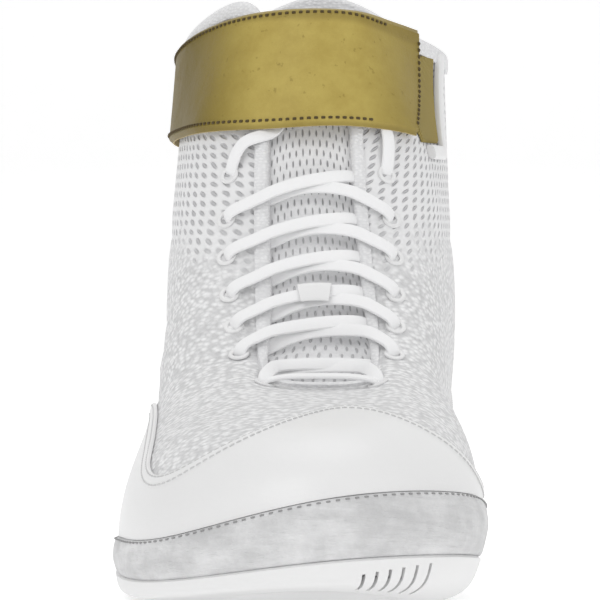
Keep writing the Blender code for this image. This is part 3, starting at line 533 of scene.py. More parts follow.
def eyelet_inset(column):
    """Distance of the eyelet line below the edge, by lateral column."""
    share = smooth((column - column_at(3)) / (column_at(5) - column_at(3)))
    return EYELET_INSET_LOW + (EYELET_INSET_HIGH - EYELET_INSET_LOW) * share


def bridge(column, across, offset):
    """A point over the throat: across runs from -1 at the lateral edge to 1 at the medial one.

    Past 1 it goes on over the upper, and 2 is the eyelet line."""
    side = np.where(across < 0, column, COLUMNS - column)
    row = row_at_inset(side, (np.clip(np.abs(across), 1, None) - 1) * eyelet_inset(column))
    on_upper = skin(row, side, offset)
    left, right = skin(RIM_ROW, column, offset), skin(RIM_ROW, COLUMNS - column, offset)
    left_in = unit(left - skin(BAND_ROW, column, offset))
    right_in = unit(right - skin(BAND_ROW, COLUMNS - column, offset))
    span = np.linalg.norm(right - left, axis=-1, keepdims=True)
    t = np.clip((np.asarray(across) + 1) / 2, 0, 1)[..., None]
    over = hermite(left, right, left_in * span, -right_in * span, t)
    return np.where((np.abs(across) > 1)[..., None], on_upper, over)


def strap_slope(level, low):
    """Slope of a strap line: low at the strap's lower edge, one slope for both sides at its upper edge."""
    return low + (STRAP_SLOPE_TOP - low) * (level - STRAP_BOTTOM) / STRAP_WIDTH


def strap_rise(points, level, slope):
    """Height of points over a strap line, which falls towards the heel from its level at the front."""
    return points[..., 2] + slope * (points[..., 1] + ORIGIN_RUN - STRAP_FRONT_RUN) - level


def row_at_level(column, level, slope=0.0):
    """The row where a column meets a strap line."""
    rise = column_blend(strap_rise(OUTER, level, slope), column)[0]
    above = np.nonzero(rise > 0)[0]
    if len(above) == 0:
        return float(RIM_ROW)
    k = max(above[0], 1)
    return k - rise[k] / (rise[k] - rise[k - 1])


def throat_column(level):
    """The column where a strap line meets the edge of the throat."""
    columns = np.linspace(column_at(3.5), column_at(6.6), 261)
    slope = strap_slope(level, STRAP_SLOPE_LATERAL)
    rise = strap_rise(skin(float(RIM_ROW), columns, 0.0), level, slope)
    return columns[np.argmax(rise > 0)]


def eyelet_columns(side):
    """Columns of the eyelet line at the eyelets' heights: side is -1 for lateral, 1 for medial."""
    columns = np.linspace(3, column_at(6), 85)
    places = columns if side < 0 else COLUMNS - columns
    heights = skin(row_at_inset(places, eyelet_inset(columns)), places, 0.0)[:, 2]
    return [float(np.interp(h, heights, columns)) for h in EYELET_HEIGHTS]


def eyelet_places(side):
    """Row and column on the upper of each eyelet of one side, lowest first."""
    places = []
    for column in eyelet_columns(side):
        place = column if side < 0 else COLUMNS - column
        places.append((float(row_at_inset(place, eyelet_inset(column))), place))
    return places


# Cloth coordinates and meshes


# Distance up each column from the feather line, and along the middle row from the toe on both sides
UP = lengths_along(OUTER)
ALONG_LATERAL = lengths_along(OUTER[PANEL_ROW][: HALF + 1])
ALONG_MEDIAL = lengths_along(np.roll(OUTER[PANEL_ROW][::-1], 1, axis=0)[: HALF + 1])


def cloth_uv(row, column):
    """Cloth coordinates in millimetres: distance from the toe, medial side negative, and distance up."""
    row, column = np.broadcast_arrays(np.asarray(row, float), np.asarray(column, float))
    low = np.clip(np.floor(row).astype(int), 0, RIM_ROW - 1)
    first = np.floor(column).astype(int)
    a, b = row - low, column - first
    first, then = first % COLUMNS, (first + 1) % COLUMNS
    up = (UP[low, first] * (1 - b) + UP[low, then] * b) * (1 - a)
    up += (UP[low + 1, first] * (1 - b) + UP[low + 1, then] * b) * a
    lateral = np.interp(column, np.arange(HALF + 1), ALONG_LATERAL)
    medial = -np.interp(np.abs(column), np.arange(HALF + 1), ALONG_MEDIAL)
    return np.stack([np.where(column >= 0, lateral, medial), up], axis=-1) * 1000


LEVELS = np.arange(0.012, 0.184, 0.004)


def girth_table():
    """Distance from the heel forward round the shoe at each level: for lateral columns, then medial ones."""
    found = []
    place = np.arange(HALF + 1)
    for columns in (place, (COLUMNS - place) % COLUMNS):
        heights, points = OUTER[:, columns, 2], OUTER[:, columns, :2]
        lines = []
        for level in LEVELS:
            k = np.clip((np.maximum.accumulate(heights, axis=0) < level).sum(axis=0), 1, RIM_ROW)
            low, high = heights[k - 1, place], heights[k, place]
            share = np.clip((level - low) / np.maximum(high - low, 1e-6), 0, 1)[:, None]
            line = points[k - 1, place] * (1 - share) + points[k, place] * share
            lines.append(lengths_along(line[::-1])[::-1])
        found.append(np.array(lines))
    return found


GIRTH = girth_table()


def weave_uv(points, column):
    """Level weave coordinates in millimetres: distance round the shoe from the heel, and height."""
    column = np.broadcast_to(np.asarray(column, float), points.shape[:-1])
    height = points[..., 2]
    row = np.clip((height - LEVELS[0]) / (LEVELS[1] - LEVELS[0]), 0, len(LEVELS) - 1.001)
    k, share = np.floor(row).astype(int), row - np.floor(row)
    turned = (column + HALF) % COLUMNS - HALF
    place = np.abs(turned)
    c = np.clip(np.floor(place).astype(int), 0, HALF - 1)
    b = place - c
    found = 0
    for side, table in ((turned >= 0, GIRTH[0]), (turned < 0, GIRTH[1])):
        low = table[k, c] * (1 - b) + table[k, c + 1] * b
        high = table[k + 1, c] * (1 - b) + table[k + 1, c + 1] * b
        found = found + np.where(side, low * (1 - share) + high * share, 0)
    return np.stack([found, height], axis=-1) * 1000


def quads(rows, columns, closed):
    """Quads of a grid numbered row by row, whose rows may close on themselves."""
    r = np.arange(rows if closed else rows - 1)[:, None]
    c = np.arange(columns - 1)[None, :]
    here, up = r * columns + c, (r + 1) % rows * columns + c
    return np.stack([here, up, up + 1, here + 1], axis=-1).reshape(-1, 4)


def add_piece(name, points, faces, finishes, uv=None, slots=None, weave=None):
    """A mesh that rides on the shoe. slots holds the material of each face."""
    mesh = bpy.data.meshes.new(name)
    corners = np.asarray(points, float).reshape(-1, 3).tolist()
    mesh.from_pydata(corners, [], [tuple(map(int, face)) for face in faces])
    for finish in finishes if isinstance(finishes, (list, tuple)) else [finishes]:
        mesh.materials.append(finish)
    if slots is not None:
        mesh.polygons.foreach_set("material_index", np.asarray(slots, np.int32))
    index = np.empty(len(mesh.loops), np.int32)
    mesh.loops.foreach_get("vertex_index", index)
    for label, values in (("cloth", uv), ("weave", weave)):
        if values is not None:
            uv_layer = mesh.uv_layers.new(name=label)
            uv_layer.data.foreach_set("uv", np.asarray(values, np.float32).reshape(-1, 2)[index].ravel())
    made = bpy.data.objects.new(name, mesh)
    bpy.context.scene.collection.objects.link(made)
    mesh.shade_smooth()
    mesh.set_sharp_from_angle(angle=SHARP_ANGLE)
    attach(made, "root")
    return made


def weld(piece):
    """Joins the two ends of a ring where they meet at the heel, and keeps its cloth coordinates."""
    bm = bmesh.new()
    bm.from_mesh(piece.data)
    bmesh.ops.remove_doubles(bm, verts=bm.verts, dist=WELD_DISTANCE)
    bm.to_mesh(piece.data)
    bm.free()
    piece.data.shade_smooth()
    piece.data.set_sharp_from_angle(angle=SHARP_ANGLE)
    return piece


# Columns of a whole ring, from the heel round by the medial side, the toe and the lateral side to the heel
RING = np.arange(-HALF, HALF + 1)


def band(name, loop, uv, finishes, ring, slots=None, weave=None):
    """A solid from rows of points that run round its section: a ring round the shoe, or a strip with ends."""
    loop = np.asarray(loop)
    rows, columns = loop.shape[:2]
    faces = quads(rows, columns, True).tolist()
    marks = None if slots is None else np.repeat(slots, columns - 1).tolist()
    if not ring:
        half = rows // 2
        for c, turned in ((0, False), (columns - 1, True)):
            for r in range(half - 1):
                quad = [k * columns + c for k in (r, rows - 1 - r, rows - 2 - r, r + 1)]
                faces.append(quad[::-1] if turned else quad)
                if marks is not None:
                    marks.append(slots[0])
    piece = add_piece(name, loop, faces, finishes, uv, marks, weave=weave)
    return weld(piece) if ring else piece


def layer(name, rows, columns, base, rise, finishes, ring):
    """A layer on the upper between offset base and base + rise, where rise holds a value for each point."""
    grid_rows, grid_columns = np.meshgrid(rows, columns, indexing="ij")
    outer = skin(grid_rows, grid_columns, base + rise)
    inner = skin(grid_rows, grid_columns, np.full(grid_rows.shape, base))
    uv = cloth_uv(grid_rows, grid_columns)
    return band(name, wrapped(outer, inner), wrapped(uv, uv), finishes, ring)


def edge_round(distance, radius):
    """Share of a layer's thickness at a distance from its edge, rounded over."""
    share = np.clip(1 - distance / radius, 0, 1)
    return np.sqrt(1 - share**2 * EDGE_FALL)


def distances(rows, columns):
    """Distance of each grid point up from the layer's first row, and down from its last row."""
    grid_rows, grid_columns = np.meshgrid(rows, columns, indexing="ij")
    up = cloth_uv(grid_rows, grid_columns)[..., 1] / 1000
    return up - up[:1], up[-1:] - up


# Finishes


class Finish:
    """A Principled material built from a few nodes."""

    def __init__(self, name, colour, roughness, **sockets):
        self.material = bpy.data.materials.new(name)
        self.material.use_nodes = True
        self.tree = self.material.node_tree
        self.shader = self.tree.nodes["Principled BSDF"]
        self.shader.inputs["Base Color"].default_value = (*colour, 1)
        self.shader.inputs["Roughness"].default_value = roughness
        for socket, value in sockets.items():
            self.shader.inputs[socket.replace("_", " ")].default_value = value
        self.normal = None

    def give(self, socket, value):
        """Sets an input socket, or links an output socket to it."""
        if isinstance(value, bpy.types.NodeSocket):
            self.tree.links.new(value, socket)
        else:
            socket.default_value = value

    def node(self, kind, inputs=(), **settings):
        """A node, its inputs given in order or by name."""
        made = self.tree.nodes.new(kind)
        for setting, value in settings.items():
            setattr(made, setting, value)
        for place, value in inputs.items() if isinstance(inputs, dict) else enumerate(inputs):
            self.give(made.inputs[place], value)
        return made

    def math(self, operation, *values):
        return self.node("ShaderNodeMath", values, operation=operation).outputs[0]

    def plus(self, first, second):
        return self.math("ADD", first, second)

    def minus(self, first, second):
        return self.math("SUBTRACT", first, second)

    def times(self, first, second):
        return self.math("MULTIPLY", first, second)

    def place(self):
        return self.node("ShaderNodeNewGeometry").outputs["Position"]

    def parts(self, vector):
        found = self.node("ShaderNodeSeparateXYZ", (vector,))
        return found.outputs[0], found.outputs[1]

    def cloth(self, name="cloth"):
        """The cloth coordinates as two sockets, in millimetres."""
        return self.parts(self.node("ShaderNodeUVMap", uv_map=name).outputs[0])

    def cells(self, along, up, pitch, half_size, degrees, soft, wobble):
        """1 inside each oval of a staggered pattern of ovals, 0 outside."""
        row = self.math("DIVIDE", up, pitch[1])
        shift = self.times(self.math("FLOORED_MODULO", self.math("FLOOR", row), 2.0), 0.5)
        column = self.plus(self.math("DIVIDE", along, pitch[0]), shift)
        x = self.times(self.minus(self.math("FRACT", column), 0.5), pitch[0])
        y = self.times(self.minus(self.math("FRACT", row), 0.5), pitch[1])
        cos, sin = math.cos(math.radians(degrees)), math.sin(math.radians(degrees))
        a = self.math("DIVIDE", self.plus(self.times(x, cos), self.times(y, sin)), half_size[0])
        b = self.math("DIVIDE", self.minus(self.times(y, cos), self.times(x, sin)), half_size[1])
        length = self.math("SQRT", self.plus(self.times(a, a), self.times(b, b)))
        return self.ramp(self.plus(length, wobble), 1 + soft, 1 - soft)

    def ramp(self, value, start, end):
        """0 at start, 1 at end, smooth between."""
        ends = {"From Min": start, "From Max": end, "To Min": 0.0, "To Max": 1.0}
        if start > end:
            ends = {"From Min": end, "From Max": start, "To Min": 1.0, "To Max": 0.0}
        node = self.node("ShaderNodeMapRange", {"Value": value, **ends}, interpolation_type="SMOOTHSTEP")
        return node.outputs["Result"]

    def mix(self, factor, first, second):
        """A colour between two, each a socket or three numbers."""
        first, second = ((*c, 1) if isinstance(c, tuple) else c for c in (first, second))
        return self.node("ShaderNodeMix", {0: factor, 6: first, 7: second}, data_type="RGBA").outputs[2]

    def noise(self, scale, detail=3.0, rough=0.6, vector=None):
        inputs = {"Scale": scale, "Detail": detail, "Roughness": rough, "Vector": vector or self.place()}
        return self.node("ShaderNodeTexNoise", inputs).outputs[0]

    def jitter(self, scale, detail, size):
        """Noise about zero."""
        return self.times(self.minus(self.noise(scale, detail), 0.5), size)

    def streaks(self, detail, rough, stretch):
        """Noise drawn out along the cloth."""
        sides = [self.times(side, scale) for side, scale in zip(self.cloth(), stretch)]
        return self.noise(1.0, detail, rough, self.node("ShaderNodeCombineXYZ", sides).outputs[0])

    def nubs(self, scale, randomness):
        """Distance to the nearest of many scattered points, a little squashed from above."""
        squash = self.node("ShaderNodeVectorMath", (self.place(), (0.8, 1.0, 1.25)), operation="MULTIPLY")
        inputs = {"Vector": squash.outputs[0], "Scale": scale, "Randomness": randomness}
        return self.node("ShaderNodeTexVoronoi", inputs).outputs["Distance"]

    def colour(self, socket):
        self.give(self.shader.inputs["Base Color"], socket)

    def rough(self, socket):
        self.give(self.shader.inputs["Roughness"], socket)

    def bump(self, height, depth, strength=1.0):
        """Adds a bump whose height, from 0 to 1, stands for depth in metres."""
        node = self.node("ShaderNodeBump", {"Strength": strength, "Distance": depth, "Height": height})
        if self.normal is not None:
            self.give(node.inputs["Normal"], self.normal)
        self.normal = node.outputs[0]
        self.give(self.shader.inputs["Normal"], self.normal)


def make_mesh_cloth():
    """Open mesh with slanted holes above, speckled knit below. The holes are painted darker as shade inside
    them, and the knit is painted lighter on its nubs and darker between them as highlight and shade. The two
    sides slant opposite ways.
    """
    mesh = Finish("scene_mesh", (0.80, 0.80, 0.81), 0.8)
    girth, height = mesh.cloth("weave")
    zone = mesh.ramp(mesh.plus(height, mesh.times(mesh.noise(70.0, 4.0), 40.0)), 104.0, 124.0)
    uneven = mesh.jitter(420.0, 1.0, 0.6)
    girth = mesh.plus(girth, mesh.jitter(90.0, 2.0, 1.3))
    height = mesh.plus(height, mesh.jitter(110.0, 2.0, 1.2))
    left = mesh.cells(girth, height, (4.6, 2.8), (1.80, 0.42), -22, 0.45, uneven)
    right = mesh.cells(girth, height, (4.4, 2.5), (1.75, 0.31), -25, 0.45, uneven)
    lateral = mesh.math("GREATER_THAN", mesh.cloth()[0], 0.0)
    sides = mesh.node("ShaderNodeMix", {0: lateral, 2: right, 3: left}, data_type="FLOAT").outputs[0]
    holes = mesh.times(sides, zone)
    threads = mesh.noise(700.0, 3.0)
    knit = mesh.ramp(mesh.nubs(560.0, 1.0), 0.80, 0.05)
    # Tone of the knit follows its nubs: painted highlight on their tops and painted shade between them, with
    # random thread tone.
    knit_nubs_and_painted_light = mesh.plus(mesh.times(knit, 0.6), mesh.times(threads, 0.7))
    fine = mesh.times(knit_nubs_and_painted_light, mesh.minus(1.0, zone))
    light = mesh.plus(fine, mesh.times(zone, 0.75))
    tone = mesh.mix(light, (0.47, 0.47, 0.475), (0.92, 0.92, 0.925))
    # Darker colour in the holes: painted shade inside them.
    mesh.colour(mesh.mix(holes, tone, (0.50, 0.50, 0.51)))
    mesh.bump(mesh.minus(mesh.plus(fine, mesh.times(threads, 0.15)), holes), 0.00045)
    return mesh.material


def make_tongue_cloth():
    """Short upright slits, painted darker as shade inside them, fainter below."""
    tongue = Finish("scene_tongue", (0.8, 0.8, 0.81), 0.85)
    along, up = tongue.cloth()
    slits = tongue.cells(along, up, (2.2, 3.2), (1.0, 0.24), 90, 0.4, tongue.jitter(500.0, 1.0, 1.2))
    threads = tongue.noise(1100.0, 3.0)
    strength = tongue.plus(0.55, tongue.times(tongue.ramp(up, 60.0, 75.0), 0.45))
    tone = tongue.mix(threads, (0.76, 0.76, 0.77), (0.95, 0.95, 0.955))
    # The slits' dark colour is painted shade inside them.
    tongue.colour(tongue.mix(tongue.times(slits, strength), tone, (0.36, 0.36, 0.37)))
    tongue.bump(tongue.minus(tongue.times(threads, 0.3), slits), 0.0003)
    return tongue.material


def make_band_cloth():
    """Fine cloth of the rolled binding round throat and collar, lighter on its knit nubs as painted
    highlight, with random tone.
    """
    cloth = Finish("scene_band", (0.80, 0.80, 0.81), 0.85)
    knit = cloth.ramp(cloth.nubs(850.0, 0.7), 0.75, 0.1)
    # Colour follows the knit's nubs: painted highlight on their tops, mixed with random tone.
    soft = cloth.plus(cloth.times(knit, 0.6), cloth.times(cloth.noise(240.0, 3.0), 0.5))
    cloth.colour(cloth.mix(soft, (0.70, 0.70, 0.71), (0.88, 0.88, 0.885)))
    cloth.bump(knit, 0.00016)
    return cloth.material


def make_suede():
    """Matte grey-white suede: patches of nap, wrinkles along the band with painted shade in their troughs,
    scuffs.
    """
    suede = Finish("scene_suede", (0.58, 0.58, 0.58), 0.95, Sheen_Weight=0.15)
    wrinkles = suede.streaks(5.0, 0.65, (0.035, 0.14))
    # Colour darker in the troughs of the wrinkles: painted shade, mixed with patches of nap.
    both = suede.plus(suede.times(wrinkles, 0.5), suede.times(suede.noise(95.0, 6.0, 0.7), 0.5))
    base = suede.mix(suede.ramp(both, 0.36, 0.66), (0.55, 0.55, 0.555), (0.74, 0.74, 0.745))
    scuffs = suede.ramp(suede.streaks(3.0, 0.5, (0.09, 0.55)), 0.66, 0.76)
    suede.colour(suede.mix(suede.times(scuffs, 0.5), base, (0.36, 0.355, 0.34)))
    suede.bump(suede.noise(1500.0, 3.0), 0.00018)
    suede.bump(suede.ramp(wrinkles, 0.3, 0.7), 0.0009, 0.6)
    return suede.material


def make_gold():
    """Mottled satin gold leather, with painted shade towards both ends where it turns away from the light,
    darker at its edges, with dark specks.
    """
    gold = Finish("scene_gold", (0.48, 0.39, 0.117), 0.42, Specular_IOR_Level=0.15)
    side = gold.parts(gold.place())[0]
    up = gold.cloth()[1]
    mottle = gold.noise(110.0, 6.0, 0.7)
    tone = gold.mix(gold.ramp(mottle, 0.25, 0.75), (0.41, 0.31, 0.078), (0.49, 0.385, 0.105))
    edges = gold.plus(gold.ramp(up, 1.6, 0.3), gold.ramp(up, 34.0, 36.2))
    specks = gold.ramp(gold.noise(420.0, 2.0), 0.66, 0.72)
    # Darker towards the lateral and medial ends by place across the shoe: painted shade where the strap turns
    # away from the light.
    for share, strength, colour in (
        (gold.ramp(side, -0.012, -0.040), 0.95, (0.125, 0.088, 0.008)),
        (gold.ramp(side, 0.012, 0.034), 0.65, (0.20, 0.148, 0.034)),
        (edges, 0.45, (0.20, 0.145, 0.035)),
        (specks, 0.35, (0.16, 0.11, 0.02)),
    ):
        tone = gold.mix(gold.times(share, strength), tone, colour)
    gold.colour(tone)
    gold.rough(gold.plus(gold.times(mottle, 0.3), 0.28))
    gold.bump(gold.noise(1400.0, 4.0), 0.00012)
    gold.bump(gold.noise(60.0, 3.0), 0.0008, 0.5)
    return gold.material


def make_ribbed():
    """Gold cloth with diagonal ribs, of the fastening patch."""
    loop = Finish("scene_loop", (0.40, 0.31, 0.09), 0.9)
    along, up = loop.cloth()
    loop.bump(loop.math("SINE", loop.times(loop.plus(along, up), 2 * math.pi / RIB_PITCH)), 0.0002)
    return loop.material


# Plain finishes: colour, roughness, grain as noise scale, detail and depth, other sockets
PLAIN_FINISHES = {
    "leather": ((0.80, 0.80, 0.80), 0.42, (900.0, 4.0, 0.00008), {"Coat_Weight": 0.08}),
    "rubber": ((0.78, 0.78, 0.78), 0.5, (700.0, 2.0, 0.00006), {}),
    "lining": ((0.62, 0.62, 0.64), 0.9, (1200.0, 2.0, 0.0002), {}),
    "lace": ((0.88, 0.88, 0.885), 0.8, (1500.0, 2.0, 0.00008), {}),
    "cut_edge": ((0.50, 0.40, 0.20), 0.8, None, {}),
    # Thread colours are darkened to stand for the shade in their stitch holes and grooves: painted shade.
    "rand_thread_painted_shade": ((0.30, 0.30, 0.30), 0.8, None, {}),
    "white_thread_painted_shade": ((0.60, 0.60, 0.60), 0.8, None, {}),
    "strap_thread_painted_shade": ((0.075, 0.05, 0.012), 0.7, None, {}),
}


def make_finishes():
    """Every material by its short name."""
    made = {
        "mesh": make_mesh_cloth(),
        "tongue": make_tongue_cloth(),
        "band": make_band_cloth(),
        "suede": make_suede(),
        "gold": make_gold(),
        "loop": make_ribbed(),
    }
    for name, (colour, roughness, grain, sockets) in PLAIN_FINISHES.items():
        plain = Finish("scene_" + name, colour, roughness, **sockets)
        if grain:
            plain.bump(plain.noise(*grain[:2]), grain[2])
        made[name] = plain.material
    return made


FINISHES = make_finishes()


# Pieces


# A stitch: place, girth and height of each of its rings, as shares of its length or radius
STITCH_PLACES = np.array([-0.5, -0.42, 0, 0.42, 0.5])
STITCH_GIRTHS = np.array([0.35, 0.9, 1.0, 0.9, 0.35])
STITCH_HEIGHTS = np.array([-0.9, 0.1, 0.45, 0.1, -0.9])
STITCH_SIDES = 6


def capsule_faces(rings, sides):
    """Faces of a tube of rings with flat ends."""
    faces = []
    for k in range(rings - 1):
        for j in range(sides):
            n = (j + 1) % sides
            faces.append([sides * k + j, sides * k + n, sides * (k + 1) + n, sides * (k + 1) + j])
    faces.append(list(reversed(range(sides))))
    faces.append([sides * (rings - 1) + j for j in range(sides)])
    return faces


def stitches(name, paths, pitch, length, radius, finish):
    """A row of sewn stitches along each path (points, normals): one joined mesh of small bent capsules."""
    points, faces, count = [], [], 0
    turn = np.arange(STITCH_SIDES) * 2 * math.pi / STITCH_SIDES
    one = capsule_faces(len(STITCH_PLACES), STITCH_SIDES)
    size, sink = radius * STITCH_GIRTHS[:, None, None], radius * STITCH_HEIGHTS[:, None, None]
    for line, normals in paths:
        far = lengths_along(line)
        for start in np.arange(pitch / 2, far[-1] - pitch / 2, pitch):
            centre = points_at(start + STITCH_PLACES * length, far, line)
            up = unit(points_at(start, far, normals))
            side = np.cross(unit(centre[-1] - centre[0]), up)
            loop = centre[:, None] + up * (sink + size * np.sin(turn)[None, :, None])
            loop = loop + side * size * np.cos(turn)[None, :, None]
            points.append(loop.reshape(-1, 3))
            faces += [[count + k for k in face] for face in one]
            count += len(points[-1])
    return add_piece(name, np.concatenate(points), faces, FINISHES[finish])


def skin_path(rows, columns, offset):
    """A path on the upper with its outward directions."""
    rows, columns = np.broadcast_arrays(np.asarray(rows, float), np.asarray(columns, float))
    points = skin(rows, columns, offset)
    return points, skin(rows, columns, offset + 0.001) - points


# Creases: both ends as (side, distance behind the toe, height), width, depth; a ridge is negative
CREASES = (
    ((-1, 0.108, 0.064), (-1, 0.146, 0.046), 0.0034, 0.0008),
    ((-1, 0.120, 0.072), (-1, 0.158, 0.056), 0.0030, -0.0005),
    ((-1, 0.150, 0.082), (-1, 0.190, 0.060), 0.0040, 0.0009),
    ((-1, 0.178, 0.104), (-1, 0.214, 0.088), 0.0040, 0.0008),
    ((1, 0.112, 0.060), (1, 0.150, 0.042), 0.0034, 0.0008),
    ((1, 0.126, 0.070), (1, 0.160, 0.052), 0.0030, -0.0005),
    ((1, 0.156, 0.084), (1, 0.196, 0.062), 0.0040, 0.0009),
    ((1, 0.186, 0.106), (1, 0.220, 0.092), 0.0040, 0.0007),
    ((-1, 0.236, 0.110), (-1, 0.262, 0.098), 0.0045, 0.0010),
    ((1, 0.238, 0.112), (1, 0.264, 0.100), 0.0045, 0.0010),
)


# Crease fades: share of its length at full depth, the fall beyond it, and the fade beside the middle
CREASE_FULL = 0.70
CREASE_FADE = 0.18
CREASE_MIDDLE = 0.012


def creases(points):
    """Offset of the upper at each point: soft troughs and ridges that fade out at their ends."""
    found = np.zeros(points.shape[:-1])
    place = np.stack([points[..., 1] + ORIGIN_RUN, points[..., 2]], axis=-1)
    for (side, *first), (_, *last), width, depth in CREASES:
        first, last = np.array(first), np.array(last)
        ahead, away = unit(last - first), place - first
        share = away @ ahead / np.linalg.norm(last - first)
        off = away[..., 0] * ahead[1] - away[..., 1] * ahead[0]
        past = np.clip(np.abs(share - 0.5) - CREASE_FULL / 2, 0, None)
        fade = np.exp(-((past / CREASE_FADE) ** 2)) * np.clip(points[..., 0] * side / CREASE_MIDDLE, 0, 1)
        found -= depth * np.exp(-((off / width) ** 2)) * fade
    return found


def dress_upper():
    grid_rows, grid_columns = np.meshgrid(np.arange(RIM_ROW + 1), RING, indexing="ij")
    dent = creases(skin(grid_rows, grid_columns, 0.0))
    outer, inner = skin(grid_rows, grid_columns, dent), skin(grid_rows, grid_columns, dent - WALL)
    uv = cloth_uv(grid_rows, grid_columns)
    weave = weave_uv(outer, grid_columns)
    slots = [0] * len(outer) + [1] * len(inner)
    finishes = [FINISHES["mesh"], FINISHES["lining"]]
    loop, uv, weave = wrapped(outer, inner), wrapped(uv, uv), wrapped(weave, weave)
    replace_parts(band("shoe_upper", loop, uv, finishes, True, slots, weave), "upper")


def dress_rand():
    """A swelling suede band with faint wrinkles round the toe, and the dots of its seam."""
    rows = np.linspace(SOLE_ROW + RAND_FOOT, RAND_ROW - RAND_GAP, 22)
    low, high = distances(rows, RING)
    swell = np.sin(np.pi * low / (low + high))
    rise = (RAND_THICKNESS + RAND_SWELL * swell) * edge_round(np.minimum(low, high), RAND_EDGE)
    wave = RAND_WRINKLE * np.sin(low / RAND_WRINKLE_PITCH + 2.2 * np.sin(RING[None, :] * 0.11))
    rise += wave * np.clip(1.4 - np.abs(RING)[None, :] / column_at(3), 0, 1) * swell
    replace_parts(layer("shoe_rand", rows, RING, CLEARANCE, rise, FINISHES["suede"], True), "rand")
    seam = skin_path(RAND_ROW - RAND_SEAM, RING, CLEARANCE + RAND_THICKNESS + 0.0001)
    stitches("shoe_rand_stitches", [seam], 0.0025, 0.0012, 0.00026, "rand_thread_painted_shade")


def dress_overlay(name, node, first, last):
    """A leather panel that is a little thicker along its hem, with two sewn seams pressed into it."""
    rows = [[RAND_ROW], np.linspace(RAND_ROW + 0.5, PANEL_ROW - 4, 16)]
    rows = np.concatenate(rows + [np.linspace(PANEL_ROW - 3.7, PANEL_ROW - 0.1, 26), [PANEL_ROW]])
    columns = np.arange(round(first), round(last) + 1)
    high = distances(rows, columns)[1]
    hem = smooth(1 - (high - OVERLAY_HEM) / 0.0007)
    seams = np.exp(-(((high - OVERLAY_SEAM) / 0.00022) ** 2))
    seams += np.exp(-(((high - OVERLAY_HEM) / 0.00035) ** 2))
    rise = OVERLAY_THICKNESS * edge_round(high, OVERLAY_EDGE) * (0.72 + 0.45 * hem) - OVERLAY_GROOVE * seams
    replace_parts(layer(name, rows, columns, CLEARANCE, rise, FINISHES["leather"], False), node)
    paths = []
    for inset in (OVERLAY_SEAM, OVERLAY_HEM):
        level = [np.interp(-inset, -high[:, k], rows) for k in range(len(columns))]
        paths.append(skin_path(level, columns, CLEARANCE + 0.92 * OVERLAY_THICKNESS))
    stitches(name + "_stitches", paths, 0.0020, 0.0016, 0.00024, "white_thread_painted_shade")


def dress_edge_binding():
    """The rolled binding: up the outer side, over the edge in a half round, and a little way down inside."""
    columns = RING % COLUMNS
    rim, foot = OUTER[RIM_ROW][columns], OUTER[BAND_ROW][columns]
    over = unit(rim - foot)
    normal, low = NORMALS[RIM_ROW][columns], NORMALS[BAND_ROW][columns]
    far = CLEARANCE + BINDING_THICKNESS
    inside = WALL + 0.4 * far
    loop = [foot + low * CLEARANCE, foot + low * 0.7 * far]
    for share in (0.25, 0.5, 0.75, 1.0):
        loop.append((foot + low * far) * (1 - share) + (rim + normal * far) * share)
    half = (far + inside) / 2
    for turn in np.linspace(0.2, 1.0, 7) * math.pi:
        side = far - half + half * math.cos(turn)
        loop.append(rim + normal * side + over * (CLEARANCE + 1.3 * far * math.sin(turn)))
    for share in (0.5, 1.0):
        loop.append(rim - normal * inside + (foot - rim) * share)
    loop.append(foot - low * (WALL + 0.05 * far))
    loop = np.array(loop)
    along = cloth_uv(np.full(len(RING), RIM_ROW), RING)[:, 0]
    uv = np.stack(np.broadcast_arrays(along, np.arange(len(loop), dtype=float)[:, None]), axis=-1)
    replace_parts(band("shoe_edge_binding", loop[::-1], uv[::-1], FINISHES["band"], True), "edge_binding")
    back = np.arange(HALF - COLLAR_SEAM_REACH, HALF + COLLAR_SEAM_REACH + 1, dtype=float)
    points, normal = skin_path(row_at_inset(back, COLLAR_SEAM_INSET), back, -WALL - 0.0001)
    stitches("shoe_collar_seam", [(points, -normal)], 0.0024, 0.0016, 0.00022, "white_thread_painted_shade")


def dress_tongue():
    """One padded sheet under the throat, tucked down at its toe end."""
    across = np.linspace(-1.7, 1.7, 41)
    middle = len(across) // 2
    columns = np.arange(round(column_at(TONGUE_START)), round(column_at(TONGUE_END)) + 1)
    top = -(WALL + TONGUE_CLEARANCE)

    def face(offset):
        rows = [bridge(np.full(len(across), float(c)), across, np.full(len(across), offset)) for c in columns]
        tuck = rows[0] + (rows[0] - rows[5]) * TONGUE_TUCK / np.linalg.norm(rows[5][middle] - rows[0][middle])
        tuck[:, 2] = rows[0][:, 2] - TONGUE_DIP - 0.12 * np.abs(rows[0][:, 0] - rows[0][middle, 0])
        return np.array([tuck] + rows).swapaxes(0, 1)

    outer, inner = face(top), face(top - TONGUE_THICKNESS)
    run, wide = lengths_along(outer[middle]), lengths_along(outer[:, len(columns) // 2])
    uv = np.stack(np.broadcast_arrays(wide[:, None], run[None, :]), axis=-1) * 1000
    piece = band("shoe_tongue", wrapped(outer, inner), wrapped(uv, uv), FINISHES["tongue"], False)
    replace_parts(piece, "tongue")


